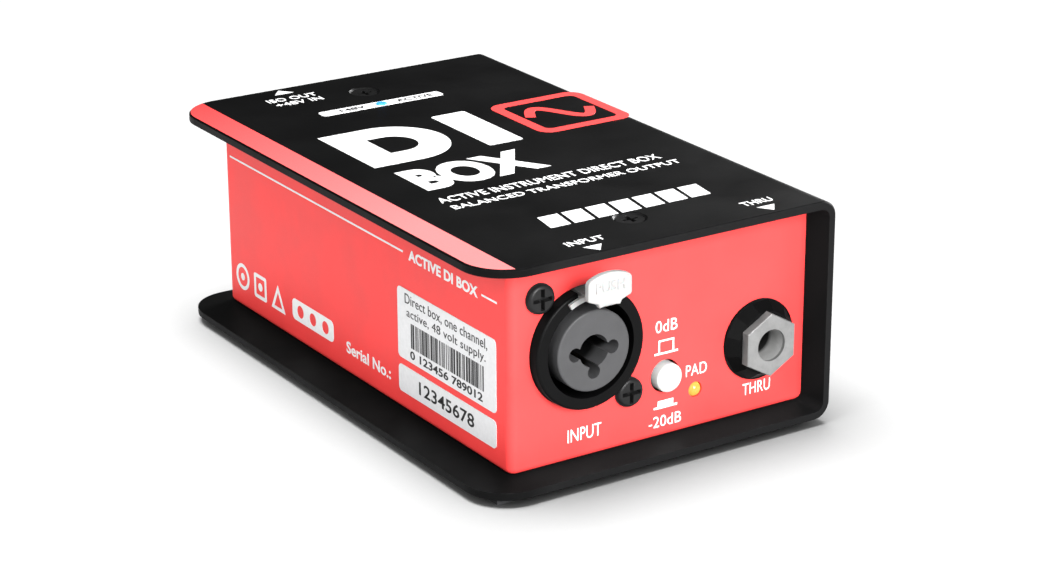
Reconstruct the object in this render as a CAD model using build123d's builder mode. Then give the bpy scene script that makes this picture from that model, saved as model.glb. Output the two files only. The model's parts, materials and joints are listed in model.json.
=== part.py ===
from build123d import *
import math
import os

# Active direct injection box: a folded red chassis inside a black book-end shell.
#
# Frame: millimetres, +Z up, origin at the centre of the footprint on the plane it rests on.
# The input panel faces -Y, the output panel faces +Y, and the open side of the shell faces -X.

os.makedirs("parts", exist_ok=True)

# ------------------------------------------------------------------ driving dimensions
SHELL_WIDTH = 77.5
SHELL_LENGTH = 122.6
CLEAR_HEIGHT = 41.3  # inside the shell, and the height of the chassis
SHELL_SHEET = 1.6
CHASSIS_SHEET = 1.2
PAD_THICKNESS = 1.5
FRONT_OVERHANG = 7.0
REAR_OVERHANG = 4.7
SIDE_OVERHANG = 8.7
SHELL_CORNER_R = 9.0
SHELL_BEND_R = 3.4
CHASSIS_CORNER_R = 1.7
CHASSIS_INNER_R = 0.5
CHASSIS_FLOOR_R = 1.1
RELIEF_R = 2.2  # rounds the two right edges so that they clear the inside of the shell's bends
RELIEF_CENTRE = 2.15  # how far the round's centre lies in from each of the two faces
RUNNING_GAP = 0.05  # between pieces that are fitted together but stay separate
EDGE_BREAK = 0.3
THROUGH = 30.0  # depth of a cut that goes through everything behind it

# ------------------------------------------------------------------ derived places
shell_floor = PAD_THICKNESS + SHELL_SHEET
shell_ceiling = shell_floor + CLEAR_HEIGHT
shell_top = shell_ceiling + SHELL_SHEET
front_y = -SHELL_LENGTH / 2 + FRONT_OVERHANG
rear_y = SHELL_LENGTH / 2 - REAR_OVERHANG
left_x = -SHELL_WIDTH / 2 + SIDE_OVERHANG
right_x = SHELL_WIDTH / 2 - SHELL_SHEET - RUNNING_GAP
chassis_width = right_x - left_x
chassis_length = rear_y - front_y
chassis_mid = ((left_x + right_x) / 2, (front_y + rear_y) / 2)
chassis_floor = shell_floor + CHASSIS_SHEET

# Planes on the outer faces of the end panels. Local x runs across the panel as it is looked at,
# local y is world Z, and the normal points out of the box.
front = Plane((0, front_y, 0), x_dir=(1, 0, 0), z_dir=(0, -1, 0))
rear = Plane((0, rear_y, 0), x_dir=(-1, 0, 0), z_dir=(0, 1, 0))
left_side = Plane((left_x, 0, 0), x_dir=(0, -1, 0), z_dir=(-1, 0, 0))

# ------------------------------------------------------------------ panel layout
# Front panel, as (world X, world Z)
combo_centre = (left_x + 16.1, shell_floor + 22.4)
pad_centre = (left_x + 34.5, shell_floor + 12.3)
pad_led_centre = (left_x + 41.6, shell_floor + 7.9)
thru_centre = (left_x + 56.2, shell_floor + 15.1)
# Rear panel, as (local x, world Z): local x is minus world X
output_centre = (-(left_x + 15.65), shell_floor + 22.65)
lift_centre = (-(left_x + 41.0), shell_floor + 12.7)

# The two screws of each socket, from its centre: upper left, then lower right
COMBO_SCREWS = [(-9.85, 11.3), (9.85, -11.3)]
OUTPUT_SCREWS = [(-9.5, 12.0), (9.5, -12.0)]
D_PLATE = (26.0, 31.0)
D_PLATE_THICKNESS = 3.0
D_PLATE_CORNER_R = 2.0
D_SCREW_HOLE_R = 1.65
D_SCREW_SHANK_R = 1.25
D_SCREW_LENGTH = 8.0
RIM_BORE_R = 9.5
RIM_GAP = 0.15  # between a socket's rim and the edge of its panel hole

COMBO_RIM_R = 11.8
COMBO_RIM_PROUD = 2.4
COMBO_INSERT_R = 7.9
COMBO_INSERT_PROUD = 3.3
COMBO_BARREL = (24.0, 26.0)
COMBO_BARREL_CORNER_R = 1.5
COMBO_BARREL_LENGTH = 22.0
SOCKET_DEPTH = 14.0
JACK_BORE_R = 3.2
LOBE_R = 1.35
LOBE_CENTRE_R = 4.1
LOBE_FLOOR = 1.0  # material left behind the lobes at the socket's floor
THROAT_WIDTH = 2.0
THROAT_REACH = 0.7  # of the lobes' distance from the bore's axis
SEAT_WIDTH = 1.9
SEAT_REACH = 1.35  # also of the lobes' distance
SEAT_FRONT = 1.0  # behind the panel's outer face
CONTACT_WIDTH = 0.7
CONTACT_REACH = 1.47
CONTACT_FRONT = 1.3
NECK_R = 5.5  # rear part of the insert, where the jack's bore is a plain round hole
NECK_LENGTH = 7.0
INSERT_EDGE_R = 0.35
SOCKET_EDGE_R = 0.5
JACK_SPRING_DEPTH = 23.2  # of the combo jack's springs, behind the panel's outer face
SPRING_WINDOW = (10.4, 3.6)  # across, and along the bore

OUTPUT_RIM_R = 11.0
OUTPUT_RIM_PROUD = 2.0
OUTPUT_BARREL_LENGTH = 18.0
XLR_PIN_R = 1.2

BUTTON_R = 2.85
BUTTON_PROUD = 1.8
BUTTON_HOLE_R = 3.3

JACK_WASHER_R = 8.1
JACK_WASHER_THICKNESS = 2.6
JACK_WASHER_BASE = 0.5  # height of its plain round foot, below the facets
WASHER_FACETS = 12
WASHER_TAPER = 38  # degrees
JACK_NUT_FLATS = 11.1
JACK_NUT_FRONT = 4.4
JACK_NUT_EDGE = 0.15
JACK_NUT_LIP = 0.7  # of the nut, in front of the threaded sleeve
JACK_THREAD_R = 4.3
JACK_THREAD_DEPTH = 8.0

TOP_SCREW_X = left_x + 30.0
TOP_SCREWS = [(TOP_SCREW_X, front_y + 5.5), (TOP_SCREW_X, rear_y - 7.2)]
STATUS_LIGHT = (left_x + 28.5, front_y + 93.9)
LIGHT_PIPE_R = 1.25

BOARD_THICKNESS = 1.6
BOARD_CORNER_R = 1.5
BOARD_SCREW_INSET = (3.6, 4.4)
BOARD_SCREW_LENGTH = 4.4
CLINCH_NUT_CLEARANCE_R = 3.4
STANDOFF_HALF_FLATS = 2.5
STANDOFF_HEIGHT = 3.4
board_bottom = chassis_floor + STANDOFF_HEIGHT
board_top = board_bottom + BOARD_THICKNESS
BOARD_X = (left_x + 3.2, right_x - 3.2)
BOARD_Y = (front_y + 4.6, rear_y - 4.6)
board_mid = ((BOARD_X[0] + BOARD_X[1]) / 2, (BOARD_Y[0] + BOARD_Y[1]) / 2)
LEAD = 0.6  # side of a square solder pin
LEAD_HOLE_R = 0.5
LEAD_BELOW_BOARD = 1.2


def write(piece, name):
    """Labels a finished piece and writes its STEP file."""
    piece.part.label = name
    export_step(piece.part, f"parts/{name}.step")


def across(centre, points):
    """Points given from a connector's centre, moved to the panel's own coordinates."""
    return [(centre[0] + x, centre[1] + y) for x, y in points]


# ------------------------------------------------------------------ fasteners
M3_R = 1.5
PAN_HEAD_R = 2.9
PAN_HEAD_HEIGHT = 1.4
SUNK_HEAD_R = 2.8
RECESS_WIDTH = 0.85
RECESS_DEPTH = 1.1
PAN_RECESS_SPAN = 4.1
SUNK_RECESS_SPAN = 3.2


def cross_recess(plane, centres, span):
    """Cuts a tapered cross recess into each screw head of the part being built."""
    with BuildSketch(plane) as cross:
        with Locations(*centres):
            Rectangle(span, RECESS_WIDTH)
            Rectangle(RECESS_WIDTH, span)
    extrude(cross.sketch, amount=-RECESS_DEPTH, taper=8, mode=Mode.SUBTRACT)


def pan_screws(plane, centres, length, shank_r=M3_R):
    """Pan-head screws with cross recesses; plane is the face that the heads sit on."""
    with BuildPart() as screws:
        with BuildSketch(plane):
            with Locations(*centres):
                Circle(PAN_HEAD_R)
        extrude(amount=PAN_HEAD_HEIGHT)
        crown = screws.faces().filter_by(plane).sort_by(Axis(plane.origin, plane.z_dir))
        fillet([face.edges() for face in crown[-len(centres):]], PAN_HEAD_HEIGHT * 0.6)
        with BuildSketch(plane):
            with Locations(*centres):
                Circle(shank_r)
        extrude(amount=-length)
        cross_recess(plane.offset(PAN_HEAD_HEIGHT), centres, PAN_RECESS_SPAN)
    return screws


def countersunk_screws(plane, centres, length, head_r=SUNK_HEAD_R, sink=0.25):
    """Flat-head screws with cross recesses; plane is the outer face they are sunk into."""
    face = plane.offset(-sink)
    with BuildPart() as screws:
        with BuildSketch(face):
            with Locations(*centres):
                Circle(head_r)
        extrude(amount=-(head_r - M3_R), taper=45)
        with BuildSketch(face):
            with Locations(*centres):
                Circle(M3_R)
        extrude(amount=-length)
        cross_recess(face, centres, SUNK_RECESS_SPAN)
    return screws


def clinch_nuts(plane, centres, height):
    """Round pressed-in nuts standing on plane, bored to clear an M3 thread."""
    with BuildPart() as nuts:
        with BuildSketch(plane):
            with Locations(*centres):
                Circle(3.0)
                Circle(M3_R + RUNNING_GAP, mode=Mode.SUBTRACT)
        extrude(amount=height)
    return nuts


# ------------------------------------------------------------------ outer shell
BOTTOM_SCREWS = [
    (chassis_mid[0] + sx * 26.0, chassis_mid[1] + sy * 40.0) for sx in (-1, 1) for sy in (-1, 1)
]
SINK_R = 3.3
top_face = Plane.XY.offset(shell_top)
under_face = Plane((0, 0, PAD_THICKNESS), x_dir=(1, 0, 0), z_dir=(0, 0, -1))
BOTTOM_SCREWS_UNDER = [(x, -y) for x, y in BOTTOM_SCREWS]

with BuildPart() as outer_shell:
    with BuildSketch(Plane.XZ) as profile:
        with Locations((0, (PAD_THICKNESS + shell_top) / 2)):
            Rectangle(SHELL_WIDTH, shell_top - PAD_THICKNESS)
        fillet(profile.vertices().group_by(Axis.X)[-1], SHELL_BEND_R)
        with BuildSketch(mode=Mode.SUBTRACT) as hollow:
            with Locations((-SHELL_SHEET, (shell_floor + shell_ceiling) / 2)):
                Rectangle(SHELL_WIDTH, CLEAR_HEIGHT)
            fillet(hollow.vertices().group_by(Axis.X)[-1], SHELL_BEND_R - SHELL_SHEET)
    extrude(amount=SHELL_LENGTH / 2, both=True)
    fillet(outer_shell.edges().filter_by(Axis.Z).group_by(Axis.X)[0], SHELL_CORNER_R)
    rims = outer_shell.faces().filter_by(Axis.Z).sort_by(Axis.Z)
    chamfer([rims[-1].outer_wire().edges(), rims[0].outer_wire().edges()], EDGE_BREAK)
    with Locations(*[Plane((x, y, shell_top)) for x, y in TOP_SCREWS]):
        CounterSinkHole(M3_R + 0.15, SINK_R, depth=SHELL_SHEET, counter_sink_angle=90)
    with Locations(*[Plane((x, y, PAD_THICKNESS), z_dir=(0, 0, -1)) for x, y in BOTTOM_SCREWS]):
        CounterSinkHole(M3_R + 0.15, SINK_R, depth=SHELL_SHEET, counter_sink_angle=90)
    with Locations(Plane((*STATUS_LIGHT, shell_top))):
        Hole(LIGHT_PIPE_R + RUNNING_GAP, depth=SHELL_SHEET)
write(outer_shell, "outer_shell")

# ------------------------------------------------------------------ non-slip pad
PAD_INSET = 3.7
with BuildPart() as non_slip_pad:
    with BuildSketch():
        Rectangle(SHELL_WIDTH - 2 * PAD_INSET, SHELL_LENGTH - 2 * PAD_INSET)
        with Locations(*BOTTOM_SCREWS):
            Circle(4.0, mode=Mode.SUBTRACT)
    extrude(amount=PAD_THICKNESS)
write(non_slip_pad, "non_slip_pad")

# ------------------------------------------------------------------ chassis
FLANGE_DEPTH = 12.0
FLANGE_WIDTH = 30.0
CHASSIS_GAP = 0.02
with BuildPart() as chassis:
    # bent corners on the left; the end panels meet the right wall at square corners
    with BuildSketch(Plane.XY.offset(shell_floor + CHASSIS_GAP)) as outline:
        with Locations(chassis_mid):
            Rectangle(chassis_width, chassis_length)
        fillet(outline.vertices().group_by(Axis.X)[0], CHASSIS_CORNER_R)
    extrude(amount=CLEAR_HEIGHT - 2 * CHASSIS_GAP)
    fillet(chassis.faces().sort_by(Axis.Z)[0].edges(), CHASSIS_FLOOR_R)
    with BuildSketch(Plane.XY.offset(chassis_floor)) as inside:
        with Locations(chassis_mid):
            Rectangle(chassis_width - 2 * CHASSIS_SHEET, chassis_length - 2 * CHASSIS_SHEET)
        fillet(inside.vertices().group_by(Axis.X)[0], CHASSIS_INNER_R)
    extrude(amount=CLEAR_HEIGHT, mode=Mode.SUBTRACT)
    # the two right edges are rounded inside the shell's bends
    with BuildSketch(Plane.XZ):
        with Locations((right_x - RELIEF_CENTRE, shell_ceiling - RELIEF_CENTRE)):
            Rectangle(2 * RELIEF_R, 2 * RELIEF_R, align=Align.MIN)
            Circle(RELIEF_R, mode=Mode.SUBTRACT)
        with Locations((right_x - RELIEF_CENTRE, shell_floor + RELIEF_CENTRE)):
            Rectangle(2 * RELIEF_R, 2 * RELIEF_R, align=(Align.MIN, Align.MAX))
            Circle(RELIEF_R, mode=Mode.SUBTRACT)
    extrude(amount=SHELL_LENGTH, both=True, mode=Mode.SUBTRACT)
    # inward flanges at the top of both end walls take the top screws
    with BuildSketch(Plane.XY.offset(shell_ceiling - CHASSIS_GAP)):
        with Locations(
            (TOP_SCREW_X, front_y + FLANGE_DEPTH / 2 + 0.3),
            (TOP_SCREW_X, rear_y - FLANGE_DEPTH / 2 - 0.3),
        ):
            Rectangle(FLANGE_WIDTH, FLANGE_DEPTH)
    extrude(amount=-CHASSIS_SHEET)
    with Locations(*[(x, y, shell_ceiling) for x, y in TOP_SCREWS]):
        Hole(M3_R + 0.15, depth=2 * CHASSIS_SHEET)
    with Locations(*[(x, y, chassis_floor) for x, y in BOTTOM_SCREWS]):
        Hole(M3_R + 0.15, depth=2 * CHASSIS_SHEET)
    # front panel cut-outs
    with BuildSketch(front.offset(1)):
        with Locations(combo_centre):
            Circle(COMBO_RIM_R + RIM_GAP)
        with Locations(*across(combo_centre, COMBO_SCREWS)):
            Circle(D_SCREW_HOLE_R)
        with Locations(pad_centre):
            Circle(BUTTON_HOLE_R)
        with Locations(pad_led_centre):
            Circle(1.5 + RUNNING_GAP)
        with Locations(thru_centre):
            Circle(JACK_THREAD_R + 0.1)
    extrude(amount=-4, mode=Mode.SUBTRACT)
    # rear panel cut-outs
    with BuildSketch(rear.offset(1)):
        with Locations(output_centre):
            Circle(OUTPUT_RIM_R + RIM_GAP)
        with Locations(*across(output_centre, OUTPUT_SCREWS)):
            Circle(D_SCREW_HOLE_R)
        with Locations(lift_centre):
            Circle(BUTTON_HOLE_R)
    extrude(amount=-4, mode=Mode.SUBTRACT)
write(chassis, "chassis")

flange_under = Plane(
    (0, 0, shell_ceiling - CHASSIS_GAP - CHASSIS_SHEET), x_dir=(1, 0, 0), z_dir=(0, 0, -1)
)
chassis_inside = Plane.XY.offset(chassis_floor + CHASSIS_GAP)
write(clinch_nuts(flange_under, [(x, -y) for x, y in TOP_SCREWS], 1.8), "top_clinch_nuts")
write(clinch_nuts(chassis_inside, BOTTOM_SCREWS, 2.6), "bottom_clinch_nuts")
write(countersunk_screws(top_face, TOP_SCREWS, 4.4), "top_screws")
write(countersunk_screws(under_face, BOTTOM_SCREWS_UNDER, 5.2), "bottom_screws")

# ------------------------------------------------------------------ combo input socket
# Heights are measured from the socket's centre, and depths from the panel's outer face.
TAB_FRONT = 8.5
TAB_THICKNESS = 1.1
TAB_WIDTH = 9.5
TAB_LOW = 11.9
TAB_SHOULDER = 15.6
TAB_CROWN = 16.8
TAB_SHOULDER_R = 1.3
TAB_LOW_R = 0.6
TAB_EDGE_R = 0.3
STEM_TOP = (2.6, 11.1)  # half width, and height
STEM_FOOT = (2.2, 10.3)
STEM_HOLLOW = 0.25  # how far the stem's lower edge bows up
ARM_BOTTOM = 10.3
ARM_THICKNESS = 0.8
ARM_WIDTH = 3.6
ARM_TAIL = 2.6  # behind the pivot
HOOK = (3.0, 1.4)  # across, and down from the arm
HOOK_FRONT = 0.2
HOOK_OVERLAP = 0.1
HOOK_THICKNESS = 1.0
NOTCH_WIDTH = 5.8
NOTCH_HEIGHTS = (8.7, 13.0)
POCKET_HEIGHTS = (8.7, 12.6)
POCKET_DEPTHS = (0.2, 7.2)
PIVOT_DEPTH = 2.6
PIVOT_HEIGHT = 10.7
PIVOT_PIN_R = 0.6
PIVOT_CLEARANCE = 0.03
PIN_HALF_LENGTH = 5.0
HUB_R = 1.2
HUB_HALF_LENGTH = 1.2
SPRING_BAY = (1.3, 3.0)  # beside the hub, from the socket's centre line
GUIDE_RADII = (10.1, 11.1)
GUIDE_END = 118  # degrees, anticlockwise from the socket's right
GUIDE_GAP = 0.15
GUIDE_THICKNESS = 0.65
pivot = (combo_centre[0], front_y + PIVOT_DEPTH, combo_centre[1] + PIVOT_HEIGHT)
combo_lobes = [
    (LOBE_CENTRE_R * math.cos(math.radians(a)), LOBE_CENTRE_R * math.sin(math.radians(a)))
    for a in (180, 0, 270)
]


def outward_from_bore(reach):
    """Places beyond or inside the three lobes, at a share of their distance from the bore."""
    return across(combo_centre, [(x * reach, y * reach) for x, y in combo_lobes])


with BuildPart() as combo_housing:
    with BuildSketch(front.offset(-CHASSIS_SHEET - CHASSIS_GAP)):
        with Locations(combo_centre):
            RectangleRounded(*D_PLATE, D_PLATE_CORNER_R)
    extrude(amount=-D_PLATE_THICKNESS)
    with BuildSketch(front.offset(-CHASSIS_SHEET - D_PLATE_THICKNESS)):
        with Locations(combo_centre):
            RectangleRounded(*COMBO_BARREL, COMBO_BARREL_CORNER_R)
    extrude(amount=-COMBO_BARREL_LENGTH)
    with BuildSketch(front.offset(-CHASSIS_SHEET - 1)):
        with Locations(combo_centre):
            Circle(COMBO_RIM_R)
    extrude(amount=CHASSIS_SHEET + 1 + COMBO_RIM_PROUD)
    fillet(combo_housing.faces().sort_by(Axis.Y)[0].edges(), SOCKET_EDGE_R)
    # annular socket, and the neck behind it that holds the insert
    with BuildSketch(front.offset(COMBO_RIM_PROUD + 1)):
        with Locations(combo_centre):
            Circle(RIM_BORE_R)
    extrude(amount=-(COMBO_RIM_PROUD + 1 + SOCKET_DEPTH), mode=Mode.SUBTRACT)
    with BuildSketch(front.offset(-SOCKET_DEPTH + 1)):
        with Locations(combo_centre):
            Circle(NECK_R + CHASSIS_GAP)
    extrude(amount=-COMBO_BARREL_LENGTH, mode=Mode.SUBTRACT)
    # notch over the rim and pocket behind the panel for the latch
    with BuildSketch(front.offset(COMBO_RIM_PROUD + 1)):
        with Locations(across(combo_centre, [(0, NOTCH_HEIGHTS[0])])[0]):
            Rectangle(
                NOTCH_WIDTH, NOTCH_HEIGHTS[1] - NOTCH_HEIGHTS[0], align=(Align.CENTER, Align.MIN)
            )
    extrude(amount=-(COMBO_RIM_PROUD + 1 + CHASSIS_SHEET), mode=Mode.SUBTRACT)
    with BuildSketch(front.offset(-POCKET_DEPTHS[0])):
        with Locations(across(combo_centre, [(0, POCKET_HEIGHTS[0])])[0]):
            Rectangle(
                NOTCH_WIDTH, POCKET_HEIGHTS[1] - POCKET_HEIGHTS[0], align=(Align.CENTER, Align.MIN)
            )
    extrude(amount=-(POCKET_DEPTHS[1] - POCKET_DEPTHS[0]), mode=Mode.SUBTRACT)
    with BuildSketch(Plane.YZ.offset(combo_centre[0])):
        with Locations((pivot[1], pivot[2])):
            Circle(PIVOT_PIN_R)
    extrude(amount=PIN_HALF_LENGTH, both=True, mode=Mode.SUBTRACT)
    with BuildSketch(front):
        with Locations(*across(combo_centre, COMBO_SCREWS)):
            Circle(D_SCREW_SHANK_R)
    extrude(amount=-(D_SCREW_LENGTH + 1), mode=Mode.SUBTRACT)
    # window over the jack springs
    with BuildSketch(Plane.XY.offset(combo_centre[1])):
        with Locations((combo_centre[0], front_y + JACK_SPRING_DEPTH)):
            Rectangle(*SPRING_WINDOW)
    extrude(amount=THROUGH / 2, both=True, mode=Mode.SUBTRACT)
write(combo_housing, "combo_housing")

with BuildPart() as combo_insert:
    with BuildSketch(front.offset(COMBO_INSERT_PROUD)):
        with Locations(combo_centre):
            Circle(COMBO_INSERT_R)
    extrude(amount=-(COMBO_INSERT_PROUD + SOCKET_DEPTH))
    fillet(combo_insert.faces().sort_by(Axis.Y)[0].edges(), INSERT_EDGE_R)
    with BuildSketch(front.offset(-SOCKET_DEPTH)):
        with Locations(combo_centre):
            Circle(NECK_R)
    extrude(amount=-NECK_LENGTH)
    with BuildSketch(front.offset(COMBO_INSERT_PROUD)):
        with Locations(combo_centre):
            Circle(JACK_BORE_R)
    extrude(amount=-THROUGH, mode=Mode.SUBTRACT)
    # three contact lobes joined to the bore by narrow throats
    with BuildSketch(front.offset(COMBO_INSERT_PROUD)):
        with Locations(*across(combo_centre, combo_lobes)):
            Circle(LOBE_R)
        with Locations(*outward_from_bore(THROAT_REACH)):
            Rectangle(THROAT_WIDTH, THROAT_WIDTH)
    extrude(amount=-(COMBO_INSERT_PROUD + SOCKET_DEPTH - LOBE_FLOOR), mode=Mode.SUBTRACT)
    # seats of the three contacts, on the far side of each lobe
    with BuildSketch(front.offset(-SEAT_FRONT)):
        with Locations(*outward_from_bore(SEAT_REACH)):
            Rectangle(SEAT_WIDTH, SEAT_WIDTH)
    extrude(amount=-(SOCKET_DEPTH - LOBE_FLOOR - SEAT_FRONT), mode=Mode.SUBTRACT)
write(combo_insert, "combo_insert")

with BuildPart() as combo_contacts:
    with BuildSketch(front.offset(-CONTACT_FRONT)):
        with Locations(*outward_from_bore(CONTACT_REACH)):
            Rectangle(CONTACT_WIDTH, CONTACT_WIDTH)
    extrude(amount=-(SOCKET_DEPTH - 2 * CONTACT_FRONT))
write(combo_contacts, "combo_xlr_contacts")

JACK_SPRING_GAP = 0.25  # a spring rests this far outside the plug, as if the plug were in
STAPLE_HALF = 4.3
BAR_WIDTH = 6.4
BAR_HEIGHT = 0.5
BAR_DEPTH = 2.4
bar_height = JACK_BORE_R + 0.8
combo_legs = [  # x from the bore's axis, and z where the leg starts
    (-STAPLE_HALF, combo_centre[1] + bar_height),
    (0.0, combo_centre[1] - bar_height),
    (STAPLE_HALF, combo_centre[1] + bar_height),
]
combo_pins = [(combo_centre[0] + dx, front_y + JACK_SPRING_DEPTH) for dx, _ in combo_legs]
with BuildPart() as combo_jack_springs:
    # a staple over the bore and a bar under it, with legs down through the board
    with BuildSketch(front.offset(-(JACK_SPRING_DEPTH - BAR_DEPTH / 2))):
        with Locations(across(combo_centre, [(0, bar_height)])[0]):
            Rectangle(2 * STAPLE_HALF + LEAD, BAR_HEIGHT)
        with Locations(across(combo_centre, [(0, -bar_height)])[0]):
            Rectangle(BAR_WIDTH, BAR_HEIGHT)
    extrude(amount=-BAR_DEPTH)
    for (x, y), (_, z) in zip(combo_pins, combo_legs):
        with BuildSketch(Plane.XY.offset(z)):
            with Locations((x, y)):
                Rectangle(LEAD, LEAD)
        extrude(amount=-(z - board_bottom + LEAD_BELOW_BOARD))
write(combo_jack_springs, "combo_jack_springs")

with BuildPart() as combo_latch:
    # push tab with a crowned top, narrowing to a short stem
    with BuildSketch(front.offset(TAB_FRONT)) as tab:
        with BuildLine():
            right_half = [
                (TAB_WIDTH / 2, TAB_SHOULDER),
                (TAB_WIDTH / 2, TAB_LOW),
                STEM_TOP,
                STEM_FOOT,
            ]
            left_half = [(-x, z) for x, z in right_half]
            Polyline(*across(combo_centre, right_half))
            Polyline(*across(combo_centre, left_half))
            foot_middle = (0, STEM_FOOT[1] + STEM_HOLLOW)
            ThreePointArc(*across(combo_centre, [right_half[-1], foot_middle, left_half[-1]]))
            ThreePointArc(*across(combo_centre, [right_half[0], (0, TAB_CROWN), left_half[0]]))
        make_face()
        fillet(tab.vertices().group_by(Axis.Y)[-1], TAB_SHOULDER_R)
        tab_low = combo_centre[1] + TAB_LOW
        low_corners = tab.vertices().filter_by_position(Axis.Y, tab_low - 0.1, tab_low + 0.1)
        fillet(low_corners, TAB_LOW_R)
    extrude(amount=-TAB_THICKNESS)
    fillet(combo_latch.faces().sort_by(Axis.Y)[0].edges(), TAB_EDGE_R)
    # arm back through the notch to the pivot
    with BuildSketch(front.offset(TAB_FRONT - TAB_THICKNESS / 2)):
        with Locations(across(combo_centre, [(0, ARM_BOTTOM)])[0]):
            Rectangle(ARM_WIDTH, ARM_THICKNESS, align=(Align.CENTER, Align.MIN))
    extrude(amount=-(TAB_FRONT - TAB_THICKNESS / 2 + PIVOT_DEPTH + ARM_TAIL))
    with BuildSketch(Plane.YZ.offset(combo_centre[0])):
        with Locations((pivot[1], pivot[2])):
            Circle(HUB_R)
    extrude(amount=HUB_HALF_LENGTH, both=True)
    with BuildSketch(Plane.YZ.offset(combo_centre[0])):
        with Locations((pivot[1], pivot[2])):
            Circle(PIVOT_PIN_R + PIVOT_CLEARANCE)
    extrude(amount=2 * PIN_HALF_LENGTH, both=True, mode=Mode.SUBTRACT)
    # the arm is cut back beside the hub to make room for the torsion spring
    with BuildSketch(Plane.XY.offset(pivot[2])):
        with Locations((pivot[0] + SPRING_BAY[0], pivot[1])):
            Rectangle(SPRING_BAY[1] - SPRING_BAY[0], 2 * HUB_R, align=(Align.MIN, Align.CENTER))
    extrude(amount=3, both=True, mode=Mode.SUBTRACT)
    # hook that holds the plug's shell
    with BuildSketch(front.offset(-HOOK_FRONT)):
        with Locations(across(combo_centre, [(0, ARM_BOTTOM + HOOK_OVERLAP)])[0]):
            Rectangle(*HOOK, align=(Align.CENTER, Align.MAX))
    extrude(amount=-HOOK_THICKNESS)
    # curved guide lying over the rim's face, from the arm to the left
    guide_cut = 90 - GUIDE_END
    with BuildSketch(front.offset(COMBO_RIM_PROUD + GUIDE_GAP)):
        with Locations(combo_centre):
            Circle(GUIDE_RADII[1])
            Circle(GUIDE_RADII[0], mode=Mode.SUBTRACT)
            Rectangle(40, 40, align=(Align.MIN, Align.CENTER), mode=Mode.SUBTRACT)
            Rectangle(
                40, 40, rotation=-guide_cut, align=(Align.MAX, Align.CENTER), mode=Mode.SUBTRACT
            )
    extrude(amount=GUIDE_THICKNESS)
write(combo_latch, "combo_latch")

with BuildPart() as combo_latch_pin:
    with BuildSketch(Plane.YZ.offset(combo_centre[0])):
        with Locations((pivot[1], pivot[2])):
            Circle(PIVOT_PIN_R)
    extrude(amount=PIN_HALF_LENGTH, both=True)
write(combo_latch_pin, "combo_latch_pin")

COIL_R = 0.85
COIL_PITCH = 0.28
COIL_LENGTH = 0.8
COIL_GAP = 0.25  # from the hub
COIL_WIRE_R = 0.1
with BuildPart() as combo_latch_spring:
    with BuildLine() as coil:
        Helix(
            pitch=COIL_PITCH,
            height=COIL_LENGTH,
            radius=COIL_R,
            center=(pivot[0] + HUB_HALF_LENGTH + COIL_GAP, pivot[1], pivot[2]),
            direction=(1, 0, 0),
        )
    with BuildSketch(Plane(origin=coil.line @ 0, z_dir=coil.line % 0)):
        Circle(COIL_WIRE_R)
    sweep()
write(combo_latch_spring, "combo_latch_spring")

combo_screws = pan_screws(
    front, across(combo_centre, COMBO_SCREWS), D_SCREW_LENGTH, shank_r=D_SCREW_SHANK_R
)
write(combo_screws, "combo_screws")

# ------------------------------------------------------------------ thru jack
THRU_BODY = (15.0, 24.0)  # across, and deep into the box
THRU_BODY_CORNER_R = 1.5
THRU_BORE_GAP = 0.3
THRU_WINDOW = (12.0, 3.6, 13.2)  # across, tall, deep
THRU_WINDOW_FRONT = 10.0
thru_low = board_top - thru_centre[1]
thru_high = 8.6
thru_pins = [(thru_centre[0] + dx, front_y + dy) for dx, dy in ((-5, 8), (5, 8), (-5, 21), (5, 21))]

with BuildPart() as thru_body:
    with BuildSketch(front.offset(-CHASSIS_SHEET - CHASSIS_GAP)):
        with Locations(across(thru_centre, [(0, (thru_low + thru_high) / 2)])[0]):
            Rectangle(THRU_BODY[0], thru_high - thru_low)
    extrude(amount=-THRU_BODY[1])
    fillet(thru_body.edges().filter_by(Axis.Y).group_by(Axis.Z)[-1], THRU_BODY_CORNER_R)
    with BuildSketch(front):
        with Locations(thru_centre):
            Circle(JACK_THREAD_R)
    extrude(amount=-JACK_THREAD_DEPTH, mode=Mode.SUBTRACT)
    with BuildSketch(front):
        with Locations(thru_centre):
            Circle(JACK_BORE_R + THRU_BORE_GAP)
    extrude(amount=-THRU_BODY[1], mode=Mode.SUBTRACT)
    # side windows for the contact springs
    with BuildSketch(front.offset(-THRU_WINDOW_FRONT)):
        with Locations(thru_centre):
            Rectangle(THRU_WINDOW[0], THRU_WINDOW[1])
    extrude(amount=-THRU_WINDOW[2], mode=Mode.SUBTRACT)
    with Locations(*[(x, y, board_top) for x, y in thru_pins]):
        Box(LEAD + 0.2, LEAD + 0.2, 2 * (thru_centre[1] - board_top), mode=Mode.SUBTRACT)
write(thru_body, "thru_jack_body")

with BuildPart() as thru_bushing:
    with BuildSketch(front.offset(-JACK_THREAD_DEPTH)):
        with Locations(thru_centre):
            Circle(JACK_THREAD_R)
            Circle(JACK_BORE_R, mode=Mode.SUBTRACT)
    extrude(amount=JACK_THREAD_DEPTH + JACK_NUT_FRONT - JACK_NUT_LIP)
write(thru_bushing, "thru_jack_bushing")

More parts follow.
